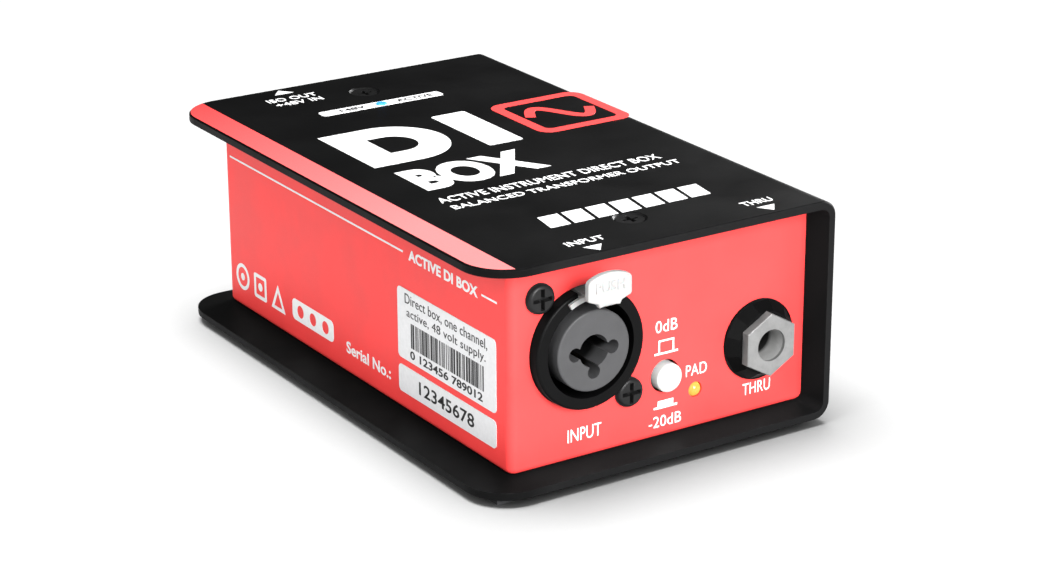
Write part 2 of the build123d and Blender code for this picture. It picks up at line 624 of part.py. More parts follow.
with BuildPart() as thru_washer:
    with BuildSketch(front):
        with Locations(thru_centre):
            Circle(JACK_WASHER_R)
    extrude(amount=JACK_WASHER_BASE)
    with BuildSketch(front.offset(JACK_WASHER_BASE)):
        with Locations(thru_centre):
            RegularPolygon(JACK_WASHER_R - RUNNING_GAP, WASHER_FACETS, rotation=15)
    extrude(amount=JACK_WASHER_THICKNESS - JACK_WASHER_BASE, taper=WASHER_TAPER)
    with BuildSketch(front):
        with Locations(thru_centre):
            Circle(JACK_THREAD_R + CHASSIS_GAP)
    extrude(amount=JACK_WASHER_THICKNESS, mode=Mode.SUBTRACT)
write(thru_washer, "thru_jack_washer")

with BuildPart() as thru_nut:
    with BuildSketch(front.offset(JACK_WASHER_THICKNESS)):
        with Locations(thru_centre):
            RegularPolygon(JACK_NUT_FLATS / 2, 6, major_radius=False, rotation=30)
    extrude(amount=JACK_NUT_FRONT - JACK_WASHER_THICKNESS)
    chamfer(thru_nut.faces().sort_by(Axis.Y)[0].edges(), JACK_NUT_EDGE)
    with BuildSketch(front.offset(JACK_WASHER_THICKNESS)):
        with Locations(thru_centre):
            Circle(JACK_THREAD_R + CHASSIS_GAP)
    extrude(amount=JACK_NUT_FRONT - JACK_NUT_LIP - JACK_WASHER_THICKNESS, mode=Mode.SUBTRACT)
    with BuildSketch(front.offset(JACK_WASHER_THICKNESS)):
        with Locations(thru_centre):
            Circle(JACK_BORE_R)
    extrude(amount=JACK_NUT_FRONT, mode=Mode.SUBTRACT)
write(thru_nut, "thru_jack_nut")

LEAF_WIDTH = 2.8
LEAF_FOOT_X = 5.0  # from the bore's axis
LEAF_STEPS = (11.0, 15.5, 18.0, 20.7)  # depths of the bends, behind the panel
LEAF_SLOPE = 0.5
LEAF_HALF_THICKNESS = 0.2
LEAF_LEG_DROP = 0.2  # of the legs' tops, below the bore's axis
with BuildPart() as thru_springs:
    # two leaf springs beside the plug's path, with legs down through the board
    for side in (-1, 1):
        with BuildSketch(Plane.XY.offset(thru_centre[1] - LEAF_WIDTH / 2)):
            with BuildLine():
                foot_x = thru_centre[0] + side * LEAF_FOOT_X
                bend_x = thru_centre[0] + side * (JACK_BORE_R + JACK_SPRING_GAP + 0.35)
                slope_x = bend_x + side * LEAF_SLOPE
                ys = [front_y + depth for depth in LEAF_STEPS]
                path = Polyline(*zip((foot_x, bend_x, slope_x, foot_x), ys))
                offset(path, amount=LEAF_HALF_THICKNESS, kind=Kind.INTERSECTION)
            make_face()
        extrude(amount=LEAF_WIDTH)
    leg_top = thru_centre[1] - LEAF_LEG_DROP
    with BuildSketch(Plane.XY.offset(leg_top)):
        with Locations(*thru_pins):
            Rectangle(LEAD, LEAD)
    extrude(amount=-(leg_top - board_bottom + LEAD_BELOW_BOARD))
write(thru_springs, "thru_jack_springs")

# ------------------------------------------------------------------ push switches
SWITCH_BODY = (8.0, 11.0, 14.0)  # across, tall, deep
SWITCH_FRONT = 6.0  # the body's face, behind the panel's outer face
STEM = 3.0
FLANGE = 4.4
CAVITY = 5.0
CAVITY_WALL = 1.0  # in front of the cavity, and behind it
PLUNGER_GAP = 0.2
FLANGE_FRONT = 1.2  # behind the body's face
FLANGE_THICKNESS = 1.4
PLUNGER_FRONT = 0.8  # behind the panel's outer face
PLUNGER_BACK = 2.6  # behind the body's face
CAP_BACK = 3.4  # behind the panel's outer face
CAP_EDGE_R = 0.55
SPRING_R = 1.5
SPRING_TURNS = 6
SPRING_WIRE_R = 0.18
SPRING_FRONT = 2.9  # behind the body's face
PIN_HALF_SPAN = 3.3
PIN_DEPTHS = (2.5, 7.0, 11.5)  # behind the body's face
PIN_STAND = 1.9  # of the pins' tops, above the board


def switch_pins(side, centre_x, panel_y):
    """The six solder pins of a push switch; side is +1 when the switch goes in along +Y."""
    ys = [panel_y + side * (SWITCH_FRONT + depth) for depth in PIN_DEPTHS]
    return [(centre_x + dx, y) for dx in (-PIN_HALF_SPAN, PIN_HALF_SPAN) for y in ys]


def push_button(plane, centre):
    """The round cap that a finger presses, with a square socket for the plunger."""
    with BuildPart() as cap:
        with BuildSketch(plane.offset(BUTTON_PROUD)):
            with Locations(centre):
                Circle(BUTTON_R)
        extrude(amount=-(BUTTON_PROUD + CAP_BACK))
        outward = Axis(plane.origin, plane.z_dir)
        fillet(cap.faces().sort_by(outward)[-1].edges(), CAP_EDGE_R)
        with BuildSketch(plane.offset(-CAP_BACK)):
            with Locations(centre):
                Rectangle(STEM, STEM)
        extrude(amount=CAP_BACK - PLUNGER_FRONT, mode=Mode.SUBTRACT)
    return cap


def push_plunger(plane, centre):
    """Square stem with a flange that the return spring pushes on."""
    with BuildPart() as plunger:
        with BuildSketch(plane.offset(-PLUNGER_FRONT)):
            with Locations(centre):
                Rectangle(STEM, STEM)
        extrude(amount=-(SWITCH_FRONT + PLUNGER_BACK - PLUNGER_FRONT))
        with BuildSketch(plane.offset(-(SWITCH_FRONT + FLANGE_FRONT))):
            with Locations(centre):
                Rectangle(FLANGE, FLANGE)
        extrude(amount=-FLANGE_THICKNESS)
    return plunger


def push_switch_body(plane, centre, pins, low):
    """Moulded body on the board; low is its underside, measured from the button's centre."""
    across_x, tall, deep = SWITCH_BODY
    with BuildPart() as body:
        with BuildSketch(plane.offset(-SWITCH_FRONT)):
            with Locations(across(centre, [(0, low + tall / 2)])[0]):
                Rectangle(across_x, tall)
        extrude(amount=-deep)
        with BuildSketch(plane.offset(-SWITCH_FRONT)):
            with Locations(centre):
                Rectangle(STEM + PLUNGER_GAP, STEM + PLUNGER_GAP)
        extrude(amount=-2 * CAVITY_WALL, mode=Mode.SUBTRACT)
        with BuildSketch(plane.offset(-SWITCH_FRONT - CAVITY_WALL)):
            with Locations(centre):
                Rectangle(CAVITY, CAVITY)
        extrude(amount=-(deep - 2 * CAVITY_WALL), mode=Mode.SUBTRACT)
        with Locations(*[(x, y, centre[1] + low) for x, y in pins]):
            Box(LEAD + 0.1, LEAD + 0.1, 4.0, mode=Mode.SUBTRACT)
    return body


def switch_spring(plane, centre):
    """Return spring between the plunger's flange and the back wall of the cavity."""
    start = SWITCH_FRONT + SPRING_FRONT
    length = SWITCH_BODY[2] - 2 * CAVITY_WALL - SPRING_FRONT
    origin = plane.from_local_coords((centre[0], centre[1], -start))
    with BuildPart() as spring:
        with BuildLine() as coil:
            Helix(
                pitch=length / SPRING_TURNS,
                height=length,
                radius=SPRING_R,
                center=origin,
                direction=-plane.z_dir,
            )
        with BuildSketch(Plane(origin=coil.line @ 0, z_dir=coil.line % 0)):
            Circle(SPRING_WIRE_R)
        sweep()
    return spring


def pin_group(pins, top):
    """Square solder pins from top down through the board."""
    with BuildPart() as group:
        with BuildSketch(Plane.XY.offset(top)):
            with Locations(*pins):
                Rectangle(LEAD, LEAD)
        extrude(amount=-(top - board_bottom + LEAD_BELOW_BOARD))
    return group


pad_pins = switch_pins(1, pad_centre[0], front_y)
lift_pins = switch_pins(-1, -lift_centre[0], rear_y)
pad_low = board_top - pad_centre[1]
lift_low = board_top - lift_centre[1]
write(push_button(front, pad_centre), "pad_button")
write(push_plunger(front, pad_centre), "pad_plunger")
write(push_switch_body(front, pad_centre, pad_pins, pad_low), "pad_switch_body")
write(switch_spring(front, pad_centre), "pad_switch_spring")
write(pin_group(pad_pins, board_top + PIN_STAND), "pad_switch_pins")
write(push_button(rear, lift_centre), "ground_lift_button")
write(push_plunger(rear, lift_centre), "ground_lift_plunger")
write(push_switch_body(rear, lift_centre, lift_pins, lift_low), "ground_lift_switch_body")
write(switch_spring(rear, lift_centre), "ground_lift_spring")
write(pin_group(lift_pins, board_top + PIN_STAND), "ground_lift_pins")

# ------------------------------------------------------------------ pad indicator lamp
LED_R = 1.5
LED_BACK = 5.6
LED_DOME = 0.9  # depth of the dome's centre, behind the panel's outer face
LED_FLANGE_R = 1.65
LED_FLANGE_THICKNESS = 1.0
LED_LEAD = 0.5
LED_LEAD_REACH = 1.85  # straight back, before the leads turn down
pad_led_pins = [(pad_led_centre[0] + dx, front_y + LED_BACK + 1.6) for dx in (-0.75, 0.75)]
with BuildPart() as pad_led:
    with BuildSketch(front.offset(-LED_DOME)):
        with Locations(pad_led_centre):
            Circle(LED_R)
    extrude(amount=-(LED_BACK - LED_DOME - LED_FLANGE_THICKNESS / 2))
    with Locations(front.from_local_coords((*pad_led_centre, -LED_DOME))):
        Sphere(LED_R)
    with BuildSketch(front.offset(-LED_BACK)):
        with Locations(pad_led_centre):
            Circle(LED_FLANGE_R)
    extrude(amount=LED_FLANGE_THICKNESS)
write(pad_led, "pad_led")

with BuildPart() as pad_led_leads:
    with BuildSketch(front.offset(-LED_BACK)):
        with Locations(*[(x, pad_led_centre[1]) for x, _ in pad_led_pins]):
            Rectangle(LED_LEAD, LED_LEAD)
    extrude(amount=-LED_LEAD_REACH)
    lead_top = pad_led_centre[1] + LED_LEAD / 2
    with BuildSketch(Plane.XY.offset(lead_top)):
        with Locations(*pad_led_pins):
            Rectangle(LED_LEAD, LED_LEAD)
    extrude(amount=-(lead_top - board_bottom + LEAD_BELOW_BOARD))
write(pad_led_leads, "pad_led_leads")

# ------------------------------------------------------------------ output socket
OUTPUT_PIN_R = 4.25
OUTPUT_PIN_FRONT = 1.2  # of the pins' tips, behind the panel's outer face
OUTPUT_PIN_TAIL = 2.0  # behind the barrel
PIN_TIP_R = 0.9
KEYWAY = (2.4, 1.6)
output_contacts = [
    (OUTPUT_PIN_R * math.cos(math.radians(a)), OUTPUT_PIN_R * math.sin(math.radians(a)))
    for a in (180, 0, 270)
]
with BuildPart() as output_housing:
    with BuildSketch(rear.offset(-CHASSIS_SHEET - CHASSIS_GAP)):
        with Locations(output_centre):
            RectangleRounded(*D_PLATE, D_PLATE_CORNER_R)
    extrude(amount=-D_PLATE_THICKNESS)
    with BuildSketch(rear.offset(-CHASSIS_SHEET - D_PLATE_THICKNESS)):
        with Locations(output_centre):
            Circle(OUTPUT_RIM_R)
    extrude(amount=-OUTPUT_BARREL_LENGTH + D_PLATE_THICKNESS)
    with BuildSketch(rear.offset(-CHASSIS_SHEET - 1)):
        with Locations(output_centre):
            Circle(OUTPUT_RIM_R)
    extrude(amount=CHASSIS_SHEET + 1 + OUTPUT_RIM_PROUD)
    fillet(output_housing.faces().sort_by(Axis.Y)[-1].edges(), SOCKET_EDGE_R)
    with BuildSketch(rear.offset(OUTPUT_RIM_PROUD + 1)):
        with Locations(output_centre):
            Circle(RIM_BORE_R)
    extrude(amount=-(OUTPUT_RIM_PROUD + 1 + SOCKET_DEPTH), mode=Mode.SUBTRACT)
    # keyway at the top of the bore
    with BuildSketch(rear.offset(OUTPUT_RIM_PROUD + 1)):
        with Locations(across(output_centre, [(0, RIM_BORE_R)])[0]):
            Rectangle(*KEYWAY)
    extrude(amount=-(OUTPUT_RIM_PROUD + 1 + SOCKET_DEPTH - 2), mode=Mode.SUBTRACT)
    with BuildSketch(rear):
        with Locations(*across(output_centre, output_contacts)):
            Circle(XLR_PIN_R)
    extrude(amount=-THROUGH, mode=Mode.SUBTRACT)
    with BuildSketch(rear):
        with Locations(*across(output_centre, OUTPUT_SCREWS)):
            Circle(D_SCREW_SHANK_R)
    extrude(amount=-(D_SCREW_LENGTH + 1), mode=Mode.SUBTRACT)
write(output_housing, "output_housing")

output_pin_back = -CHASSIS_SHEET - OUTPUT_BARREL_LENGTH - OUTPUT_PIN_TAIL
output_pins = [
    (-(output_centre[0] + x), rear_y + output_pin_back + LEAD) for x, _ in output_contacts
]
with BuildPart() as output_contact_pins:
    with BuildSketch(rear.offset(-OUTPUT_PIN_FRONT)):
        with Locations(*across(output_centre, output_contacts)):
            Circle(XLR_PIN_R)
    extrude(amount=output_pin_back + OUTPUT_PIN_FRONT)
    tips = output_contact_pins.faces().filter_by(Axis.Y).group_by(Axis.Y)[-1]
    fillet(tips.edges(), PIN_TIP_R)
    for (x, y), (_, dz) in zip(output_pins, output_contacts):
        with BuildSketch(Plane.XY.offset(output_centre[1] + dz)):
            with Locations((x, y)):
                Rectangle(LEAD, LEAD)
        extrude(amount=-(output_centre[1] + dz - board_bottom + LEAD_BELOW_BOARD))
write(output_contact_pins, "output_contact_pins")
output_screws = pan_screws(
    rear, across(output_centre, OUTPUT_SCREWS), D_SCREW_LENGTH, shank_r=D_SCREW_SHANK_R
)
write(output_screws, "output_screws")

# ------------------------------------------------------------------ status light
PIPE_FOOT = board_top + 6.0
PIPE_PROUD = 0.25
PIPE_EDGE_R = 0.4
HOLDER_R = 2.6
HOLDER_BORE_R = 1.7
HOLDER_LOW = 5.5  # height of its wide lower part
HOLDER_GRIP = 6.0  # length of its upper part, around the pipe
STATUS_LED_HEIGHT = 3.4
with BuildPart() as light_pipe:
    with BuildSketch(Plane.XY.offset(PIPE_FOOT)):
        with Locations(STATUS_LIGHT):
            Circle(LIGHT_PIPE_R)
    extrude(amount=shell_top + PIPE_PROUD - PIPE_FOOT)
    fillet(light_pipe.faces().sort_by(Axis.Z)[-1].edges(), PIPE_EDGE_R)
write(light_pipe, "light_pipe")

with BuildPart() as light_pipe_holder:
    with BuildSketch(Plane.XY.offset(board_top)):
        with Locations(STATUS_LIGHT):
            Circle(HOLDER_R)
            Circle(HOLDER_BORE_R, mode=Mode.SUBTRACT)
    extrude(amount=HOLDER_LOW)
    with BuildSketch(Plane.XY.offset(board_top + HOLDER_LOW)):
        with Locations(STATUS_LIGHT):
            Circle(HOLDER_R)
            Circle(LIGHT_PIPE_R, mode=Mode.SUBTRACT)
    extrude(amount=HOLDER_GRIP)
write(light_pipe_holder, "light_pipe_holder")

with BuildPart() as status_led:
    with BuildSketch(Plane.XY.offset(board_top)):
        with Locations(STATUS_LIGHT):
            Circle(LED_R)
    extrude(amount=STATUS_LED_HEIGHT)
    with Locations((*STATUS_LIGHT, board_top + STATUS_LED_HEIGHT)):
        Sphere(LED_R)
write(status_led, "status_led")

# ------------------------------------------------------------------ isolation transformer
CORE = (26.0, 14.0, 22.0)
CORE_LEG = 4.0
CENTRE_LEG = 8.0
BOBBIN_WALL = 0.6
BOBBIN_FLANGE = 0.8
BOBBIN_OVERHANG = 7.0  # of its flanges beyond the core, both sides together
WINDING_INSET = 1.4  # of the winding inside the flanges, both sides together
WINDING_CORNER_R = 2.5
BOBBIN_PIN_X = (-6, -2, 2, 6)
BOBBIN_PIN_Y = 9.6
transformer_at = (left_x + 45.0, front_y + 56.0)
core_bottom = board_top + 1.0
window_height = CORE[2] - 2 * CORE_LEG
window_width = (CORE[0] - 2 * CORE_LEG - CENTRE_LEG) / 2
bobbin_bottom = core_bottom + CORE_LEG + 0.1
bobbin_height = window_height - 0.2
bobbin_pins = [
    (transformer_at[0] + dx, transformer_at[1] + side * BOBBIN_PIN_Y)
    for dx in BOBBIN_PIN_X
    for side in (-1, 1)
]

with BuildPart() as transformer_core:
    with BuildSketch(Plane.XY.offset(core_bottom)):
        with Locations(transformer_at):
            Rectangle(CORE[0], CORE[1])
    extrude(amount=CORE[2])
    window_x = CENTRE_LEG / 2 + window_width / 2
    with Locations(
        *[
            (transformer_at[0] + side * window_x, transformer_at[1], core_bottom + CORE[2] / 2)
            for side in (-1, 1)
        ]
    ):
        Box(window_width, CORE[1] + 2, window_height, mode=Mode.SUBTRACT)
write(transformer_core, "transformer_core")

tube = (CENTRE_LEG + 0.1, CORE[1] + 0.1)
with BuildPart() as transformer_bobbin:
    with BuildSketch(Plane.XY.offset(bobbin_bottom)):
        with Locations(transformer_at):
            Rectangle(tube[0] + 2 * BOBBIN_WALL, tube[1] + 2 * BOBBIN_WALL)
    extrude(amount=bobbin_height)
    for z in (bobbin_bottom, bobbin_bottom + bobbin_height - BOBBIN_FLANGE):
        with BuildSketch(Plane.XY.offset(z)):
            with Locations(transformer_at):
                Rectangle(CORE[0] - 2 * CORE_LEG - 0.2, CORE[1] + BOBBIN_OVERHANG)
        extrude(amount=BOBBIN_FLANGE)
    with BuildSketch(Plane.XY.offset(bobbin_bottom)):
        with Locations(transformer_at):
            Rectangle(*tube)
    extrude(amount=bobbin_height, mode=Mode.SUBTRACT)
    with Locations(*[(x, y, bobbin_bottom) for x, y in bobbin_pins]):
        Box(LEAD, LEAD, 1.0, mode=Mode.SUBTRACT)
write(transformer_bobbin, "transformer_bobbin")

with BuildPart() as transformer_winding:
    with BuildSketch(Plane.XY.offset(bobbin_bottom + BOBBIN_FLANGE)):
        with Locations(transformer_at):
            RectangleRounded(
                CORE[0] - 2 * CORE_LEG - 0.6,
                CORE[1] + BOBBIN_OVERHANG - WINDING_INSET,
                WINDING_CORNER_R,
            )
            Rectangle(
                tube[0] + 2 * BOBBIN_WALL, tube[1] + 2 * BOBBIN_WALL, mode=Mode.SUBTRACT
            )
    extrude(amount=bobbin_height - 2 * BOBBIN_FLANGE)
write(transformer_winding, "transformer_winding")
write(pin_group(bobbin_pins, bobbin_bottom + 0.5), "transformer_pins")

CLAMP_SHEET = 0.8
CLAMP_SCREW_X = 17.2  # from the core's middle
CLAMP_FOOT = 7.4
CLAMP_HALF_WIDTH = 4.0
CLAMP_SCREW_LENGTH = 4.8
CLAMP_NUT = (2.75, 2.2)  # half across its flats, and height
clamp_screws = [
    (transformer_at[0] + side * CLAMP_SCREW_X, transformer_at[1]) for side in (-1, 1)
]
with BuildPart() as transformer_clamp:
    # strap over the core with a foot on each side
    with BuildSketch(Plane.XZ.offset(-transformer_at[1])):
        x0, z0, z1 = transformer_at[0], board_top, core_bottom + CORE[2]
        inner_half = CORE[0] / 2 + CHASSIS_GAP
        with Locations((x0, (z0 + z1 + CLAMP_SHEET) / 2)):
            Rectangle(2 * (inner_half + CLAMP_SHEET), z1 + CLAMP_SHEET - z0)
        with Locations((x0, (z0 + z1) / 2)):
            Rectangle(2 * inner_half, z1 - z0, mode=Mode.SUBTRACT)
        with Locations(*[(x, z0 + CLAMP_SHEET / 2) for x, _ in clamp_screws]):
            Rectangle(CLAMP_FOOT, CLAMP_SHEET)
    extrude(amount=CLAMP_HALF_WIDTH, both=True)
    with Locations(*[(x, y, board_top + CLAMP_SHEET) for x, y in clamp_screws]):
        Hole(M3_R + 0.1, depth=CLAMP_SHEET)
write(transformer_clamp, "transformer_clamp")
clamp_seat = Plane.XY.offset(board_top + CLAMP_SHEET)
write(pan_screws(clamp_seat, clamp_screws, CLAMP_SCREW_LENGTH), "clamp_screws")
board_under = Plane((0, 0, board_bottom), x_dir=(1, 0, 0), z_dir=(0, 0, -1))
with BuildPart() as clamp_nuts:
    with BuildSketch(board_under):
        with Locations(*[(x, -y) for x, y in clamp_screws]):
            RegularPolygon(CLAMP_NUT[0], 6, major_radius=False)
            Circle(M3_R + RUNNING_GAP, mode=Mode.SUBTRACT)
    extrude(amount=CLAMP_NUT[1])
write(clamp_nuts, "clamp_nuts")

# ------------------------------------------------------------------ board components
CHIP = (6.4, 9.6, 3.3)
CHIP_STAND = 0.7  # of its underside, above the board
CHIP_NOTCH = (0.9, 0.6)  # radius, and height of the cutter, half of which cuts
CHIP_X = left_x + 12.0
CHIP_PITCH = 2.54
LEG_TOP = 2.4  # above the board
LEG = (0.3, 0.5)
SHOULDER = (0.6, 0.9, 0.25)  # of a leg beside the chip
chip_at = [(CHIP_X, front_y + 42.0), (CHIP_X, front_y + 58.0)]
chip_pins = [
    (x + side * 1.5 * CHIP_PITCH, y + step * CHIP_PITCH)
    for x, y in chip_at
    for side in (-1, 1)
    for step in (-1.5, -0.5, 0.5, 1.5)
]
with BuildPart() as amplifier_chips:
    with BuildSketch(Plane.XY.offset(board_top + CHIP_STAND)):
        with Locations(*chip_at):
            Rectangle(CHIP[0], CHIP[1])
    extrude(amount=CHIP[2])
    chip_top = board_top + CHIP_STAND + CHIP[2]
    with Locations(*[(x, y + CHIP[1] / 2, chip_top) for x, y in chip_at]):
        Cylinder(*CHIP_NOTCH, mode=Mode.SUBTRACT)
write(amplifier_chips, "amplifier_chips")

with BuildPart() as chip_legs:
    with BuildSketch(Plane.XY.offset(board_top + LEG_TOP)):
        with Locations(*chip_pins):
            Rectangle(*LEG)
    extrude(amount=-(LEG_TOP + BOARD_THICKNESS + LEAD_BELOW_BOARD))
    with BuildSketch(Plane.XY.offset(board_top + LEG_TOP)):
        with Locations(*[(x - math.copysign(LEG[0], x - CHIP_X), y) for x, y in chip_pins]):
            Rectangle(SHOULDER[0], SHOULDER[1])
    extrude(amount=SHOULDER[2])
write(chip_legs, "chip_legs")

CAN_STAND = 0.2  # above the board
CAN_EDGE_R = 0.5
electrolytics = [  # x from the chassis side, y from the front panel, radius, height
    (8.5, 33.0, 3.15, 11.0),
    (16.5, 33.0, 3.15, 11.0),
    (8.0, 71.0, 4.0, 12.5),
    (17.5, 71.0, 4.0, 12.5),
    (8.0, 82.0, 4.0, 12.5),
    (46.2, 38.5, 3.15, 11.0),
    (53.6, 38.5, 3.15, 11.0),
]
with BuildPart() as electrolytic_capacitors:
    for dx, dy, radius, height in electrolytics:
        with BuildSketch(Plane.XY.offset(board_top + CAN_STAND)) as can:
            with Locations((left_x + dx, front_y + dy)):
                Circle(radius)
        extrude(to_extrude=can.sketch, amount=height)
    tops = electrolytic_capacitors.faces().filter_by(Axis.Z)
    fillet([face.edges() for face in tops if face.center().Z > board_top + 5], CAN_EDGE_R)
write(electrolytic_capacitors, "electrolytic_capacitors")

FILM_BOX = (2.6, 7.2, 6.5)
FILM_STAND = 0.1
FILM_PITCH = 5.0
film_boxes = [(left_x + 25.6 + FILM_PITCH * i, front_y + 33.0) for i in range(4)]
with BuildPart() as film_capacitors:
    with BuildSketch(Plane.XY.offset(board_top + FILM_STAND)):
        with Locations(*film_boxes):
            RectangleRounded(FILM_BOX[0], FILM_BOX[1], EDGE_BREAK)
    extrude(amount=FILM_BOX[2])
write(film_capacitors, "film_capacitors")

RESISTOR_R = 1.1
RESISTOR_HALF = 3.1
RESISTOR_EDGE_R = 0.45
RESISTOR_LEAD = 0.5
RESISTOR_PITCH = 3.0
RESISTOR_REACH = 4.6  # of a lead from the middle of the resistor
resistor_at = [(left_x + 24.0 + RESISTOR_PITCH * i, front_y + 80.0) for i in range(9)]
resistor_pins = [(x, y + side * RESISTOR_REACH) for x, y in resistor_at for side in (-1, 1)]
resistor_axis = board_top + RESISTOR_R + 0.2
with BuildPart() as resistors:
    for x, y in resistor_at:
        with BuildSketch(Plane.XZ.offset(-y)):
            with Locations((x, resistor_axis)):
                Circle(RESISTOR_R)
        extrude(amount=RESISTOR_HALF, both=True)
    ends = resistors.faces().filter_by(Axis.Y)
    fillet([face.edges() for face in ends], RESISTOR_EDGE_R)
    with BuildSketch(Plane.XY.offset(resistor_axis)):
        with Locations(*resistor_pins):
            Rectangle(RESISTOR_LEAD, RESISTOR_LEAD)
    extrude(amount=-(resistor_axis - board_bottom + LEAD_BELOW_BOARD))
    with BuildSketch(Plane.XY.offset(resistor_axis - RESISTOR_LEAD / 2)):
        with Locations(*resistor_at):
            Rectangle(RESISTOR_LEAD, 2 * RESISTOR_REACH + RESISTOR_LEAD)
    extrude(amount=RESISTOR_LEAD)
write(resistors, "resistors")

# ------------------------------------------------------------------ main board
inset_x, inset_y = BOARD_SCREW_INSET
board_screws_at = [
    (BOARD_X[0] + inset_x, BOARD_Y[0] + inset_y),
    (BOARD_X[1] - inset_x, BOARD_Y[1] - inset_y),
    (BOARD_X[0] + inset_x, BOARD_Y[1] - inset_y),
    (BOARD_X[1] - inset_x, BOARD_Y[0] + 34.0),  # moved back to clear the through jack
]
lead_holes = [
    *combo_pins,
    *thru_pins,
    *pad_pins,
    *lift_pins,
    *pad_led_pins,
    *output_pins,
    *bobbin_pins,
    *chip_pins,
    *resistor_pins,
]
with BuildPart() as main_board:
    with BuildSketch(Plane.XY.offset(board_bottom)):
        with Locations(board_mid):
            RectangleRounded(BOARD_X[1] - BOARD_X[0], BOARD_Y[1] - BOARD_Y[0], BOARD_CORNER_R)
        with Locations(*lead_holes):
            Circle(LEAD_HOLE_R, mode=Mode.SUBTRACT)
        with Locations(*board_screws_at, *clamp_screws):
            Circle(M3_R + 0.15, mode=Mode.SUBTRACT)
        with Locations(*BOTTOM_SCREWS):
            Circle(CLINCH_NUT_CLEARANCE_R, mode=Mode.SUBTRACT)
    extrude(amount=BOARD_THICKNESS)
write(main_board, "main_board")

with BuildPart() as board_standoffs:
    with BuildSketch(Plane.XY.offset(chassis_floor + CHASSIS_GAP)):
        with Locations(*board_screws_at):
            RegularPolygon(STANDOFF_HALF_FLATS, 6, major_radius=False)
            Circle(M3_R + RUNNING_GAP, mode=Mode.SUBTRACT)
    extrude(amount=STANDOFF_HEIGHT - CHASSIS_GAP)
write(board_standoffs, "board_standoffs")
board_screws = pan_screws(Plane.XY.offset(board_top), board_screws_at, BOARD_SCREW_LENGTH)
write(board_screws, "board_screws")

# ------------------------------------------------------------------ stickers
LABEL_THICKNESS = 0.12
LABEL_CORNER_R = 1.0
BARCODE_LABEL = (35.1, 14.5)
SERIAL_LABEL = (35.0, 5.6)
# local x on the left side runs towards the front, so it is minus world Y
label_mid_y = front_y + 22.1
with BuildPart() as barcode_label:
    with BuildSketch(left_side):
        with Locations((-label_mid_y, shell_floor + 18.1)):
            RectangleRounded(*BARCODE_LABEL, LABEL_CORNER_R)
    extrude(amount=LABEL_THICKNESS)
write(barcode_label, "barcode_label")

with BuildPart() as serial_label:
    with BuildSketch(left_side):
        with Locations((-label_mid_y, shell_floor + 6.6)):
            RectangleRounded(*SERIAL_LABEL, LABEL_CORNER_R)
    extrude(amount=LABEL_THICKNESS)
write(serial_label, "serial_label")
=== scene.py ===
"""Direct injection box: materials, printed graphics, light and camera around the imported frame."""

import bpy
import bmesh
import json
import math
import random
from mathutils import Matrix, Vector


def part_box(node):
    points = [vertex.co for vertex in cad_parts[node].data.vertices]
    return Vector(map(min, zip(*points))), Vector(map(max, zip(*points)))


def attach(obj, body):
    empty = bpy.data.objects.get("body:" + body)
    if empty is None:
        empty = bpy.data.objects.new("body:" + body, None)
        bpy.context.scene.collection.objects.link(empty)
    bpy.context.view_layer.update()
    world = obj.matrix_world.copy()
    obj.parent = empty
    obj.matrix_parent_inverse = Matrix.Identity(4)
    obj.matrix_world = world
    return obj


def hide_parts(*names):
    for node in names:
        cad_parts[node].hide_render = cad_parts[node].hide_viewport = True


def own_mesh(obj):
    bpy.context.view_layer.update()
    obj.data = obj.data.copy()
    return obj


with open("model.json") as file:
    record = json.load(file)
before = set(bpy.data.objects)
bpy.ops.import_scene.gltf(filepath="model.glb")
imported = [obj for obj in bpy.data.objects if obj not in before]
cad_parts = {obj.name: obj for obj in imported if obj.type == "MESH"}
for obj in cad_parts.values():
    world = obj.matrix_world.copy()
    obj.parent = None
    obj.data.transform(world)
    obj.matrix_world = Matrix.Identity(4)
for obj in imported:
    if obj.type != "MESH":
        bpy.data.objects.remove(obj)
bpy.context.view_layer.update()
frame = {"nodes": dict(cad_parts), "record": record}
scene = bpy.context.scene
MM = 0.001

# ------------------------------------------------------------------ places, all from the frame
chassis_lo, chassis_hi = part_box("chassis")
shell_lo, shell_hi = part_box("outer_shell")
INK = 0.05 * MM  # thickness of the screen-printed ink
STRIPE_INK_DEPTH = 0.03 * MM
LETTER_SPACING = 1.02
SINK = 0.01 * MM  # how far a print's underside lies in the surface it is on


def top_place(x, y):
    """A point on the top plate: x from the chassis's left side, y from the input panel, in mm."""
    return Vector((chassis_lo.x + x * MM, chassis_lo.y + y * MM, shell_hi.z))


def front_place(x, z):
    """A point on the input panel: x from its left edge, z from its lower edge, in mm."""
    return Vector((chassis_lo.x + x * MM, chassis_lo.y, chassis_lo.z + z * MM))


def left_place(y, z):
    """A point on the chassis's left side: y from the input panel, z from its lower edge."""
    return Vector((chassis_lo.x, chassis_lo.y + y * MM, chassis_lo.z + z * MM))


def rear_place(x, z):
    """A point on the output panel: x from the chassis's left side, z from its lower edge."""
    return Vector((chassis_lo.x + x * MM, chassis_hi.y, chassis_lo.z + z * MM))


# Each face turns local (right, up, out) into the row frame.
TOP = (Vector((1, 0, 0)), Vector((0, 1, 0)), Vector((0, 0, 1)))
FRONT = (Vector((1, 0, 0)), Vector((0, 0, 1)), Vector((0, -1, 0)))
LEFT = (Vector((0, -1, 0)), Vector((0, 0, 1)), Vector((-1, 0, 0)))
REAR = (Vector((-1, 0, 0)), Vector((0, 0, 1)), Vector((0, 1, 0)))


def to_face(face, origin):
    """Matrix from a flat drawing's axes to the row frame."""
    right, up, out = face
    turn = Matrix((right, up, out)).transposed().to_4x4()
    return Matrix.Translation(origin) @ turn


# ------------------------------------------------------------------ materials
# painted shade in the jack bores keeps this share of a colour at their bottom
BORE_SHADE_SHARE = 0.04  # of a colour that is left at the bottom of a deep bore


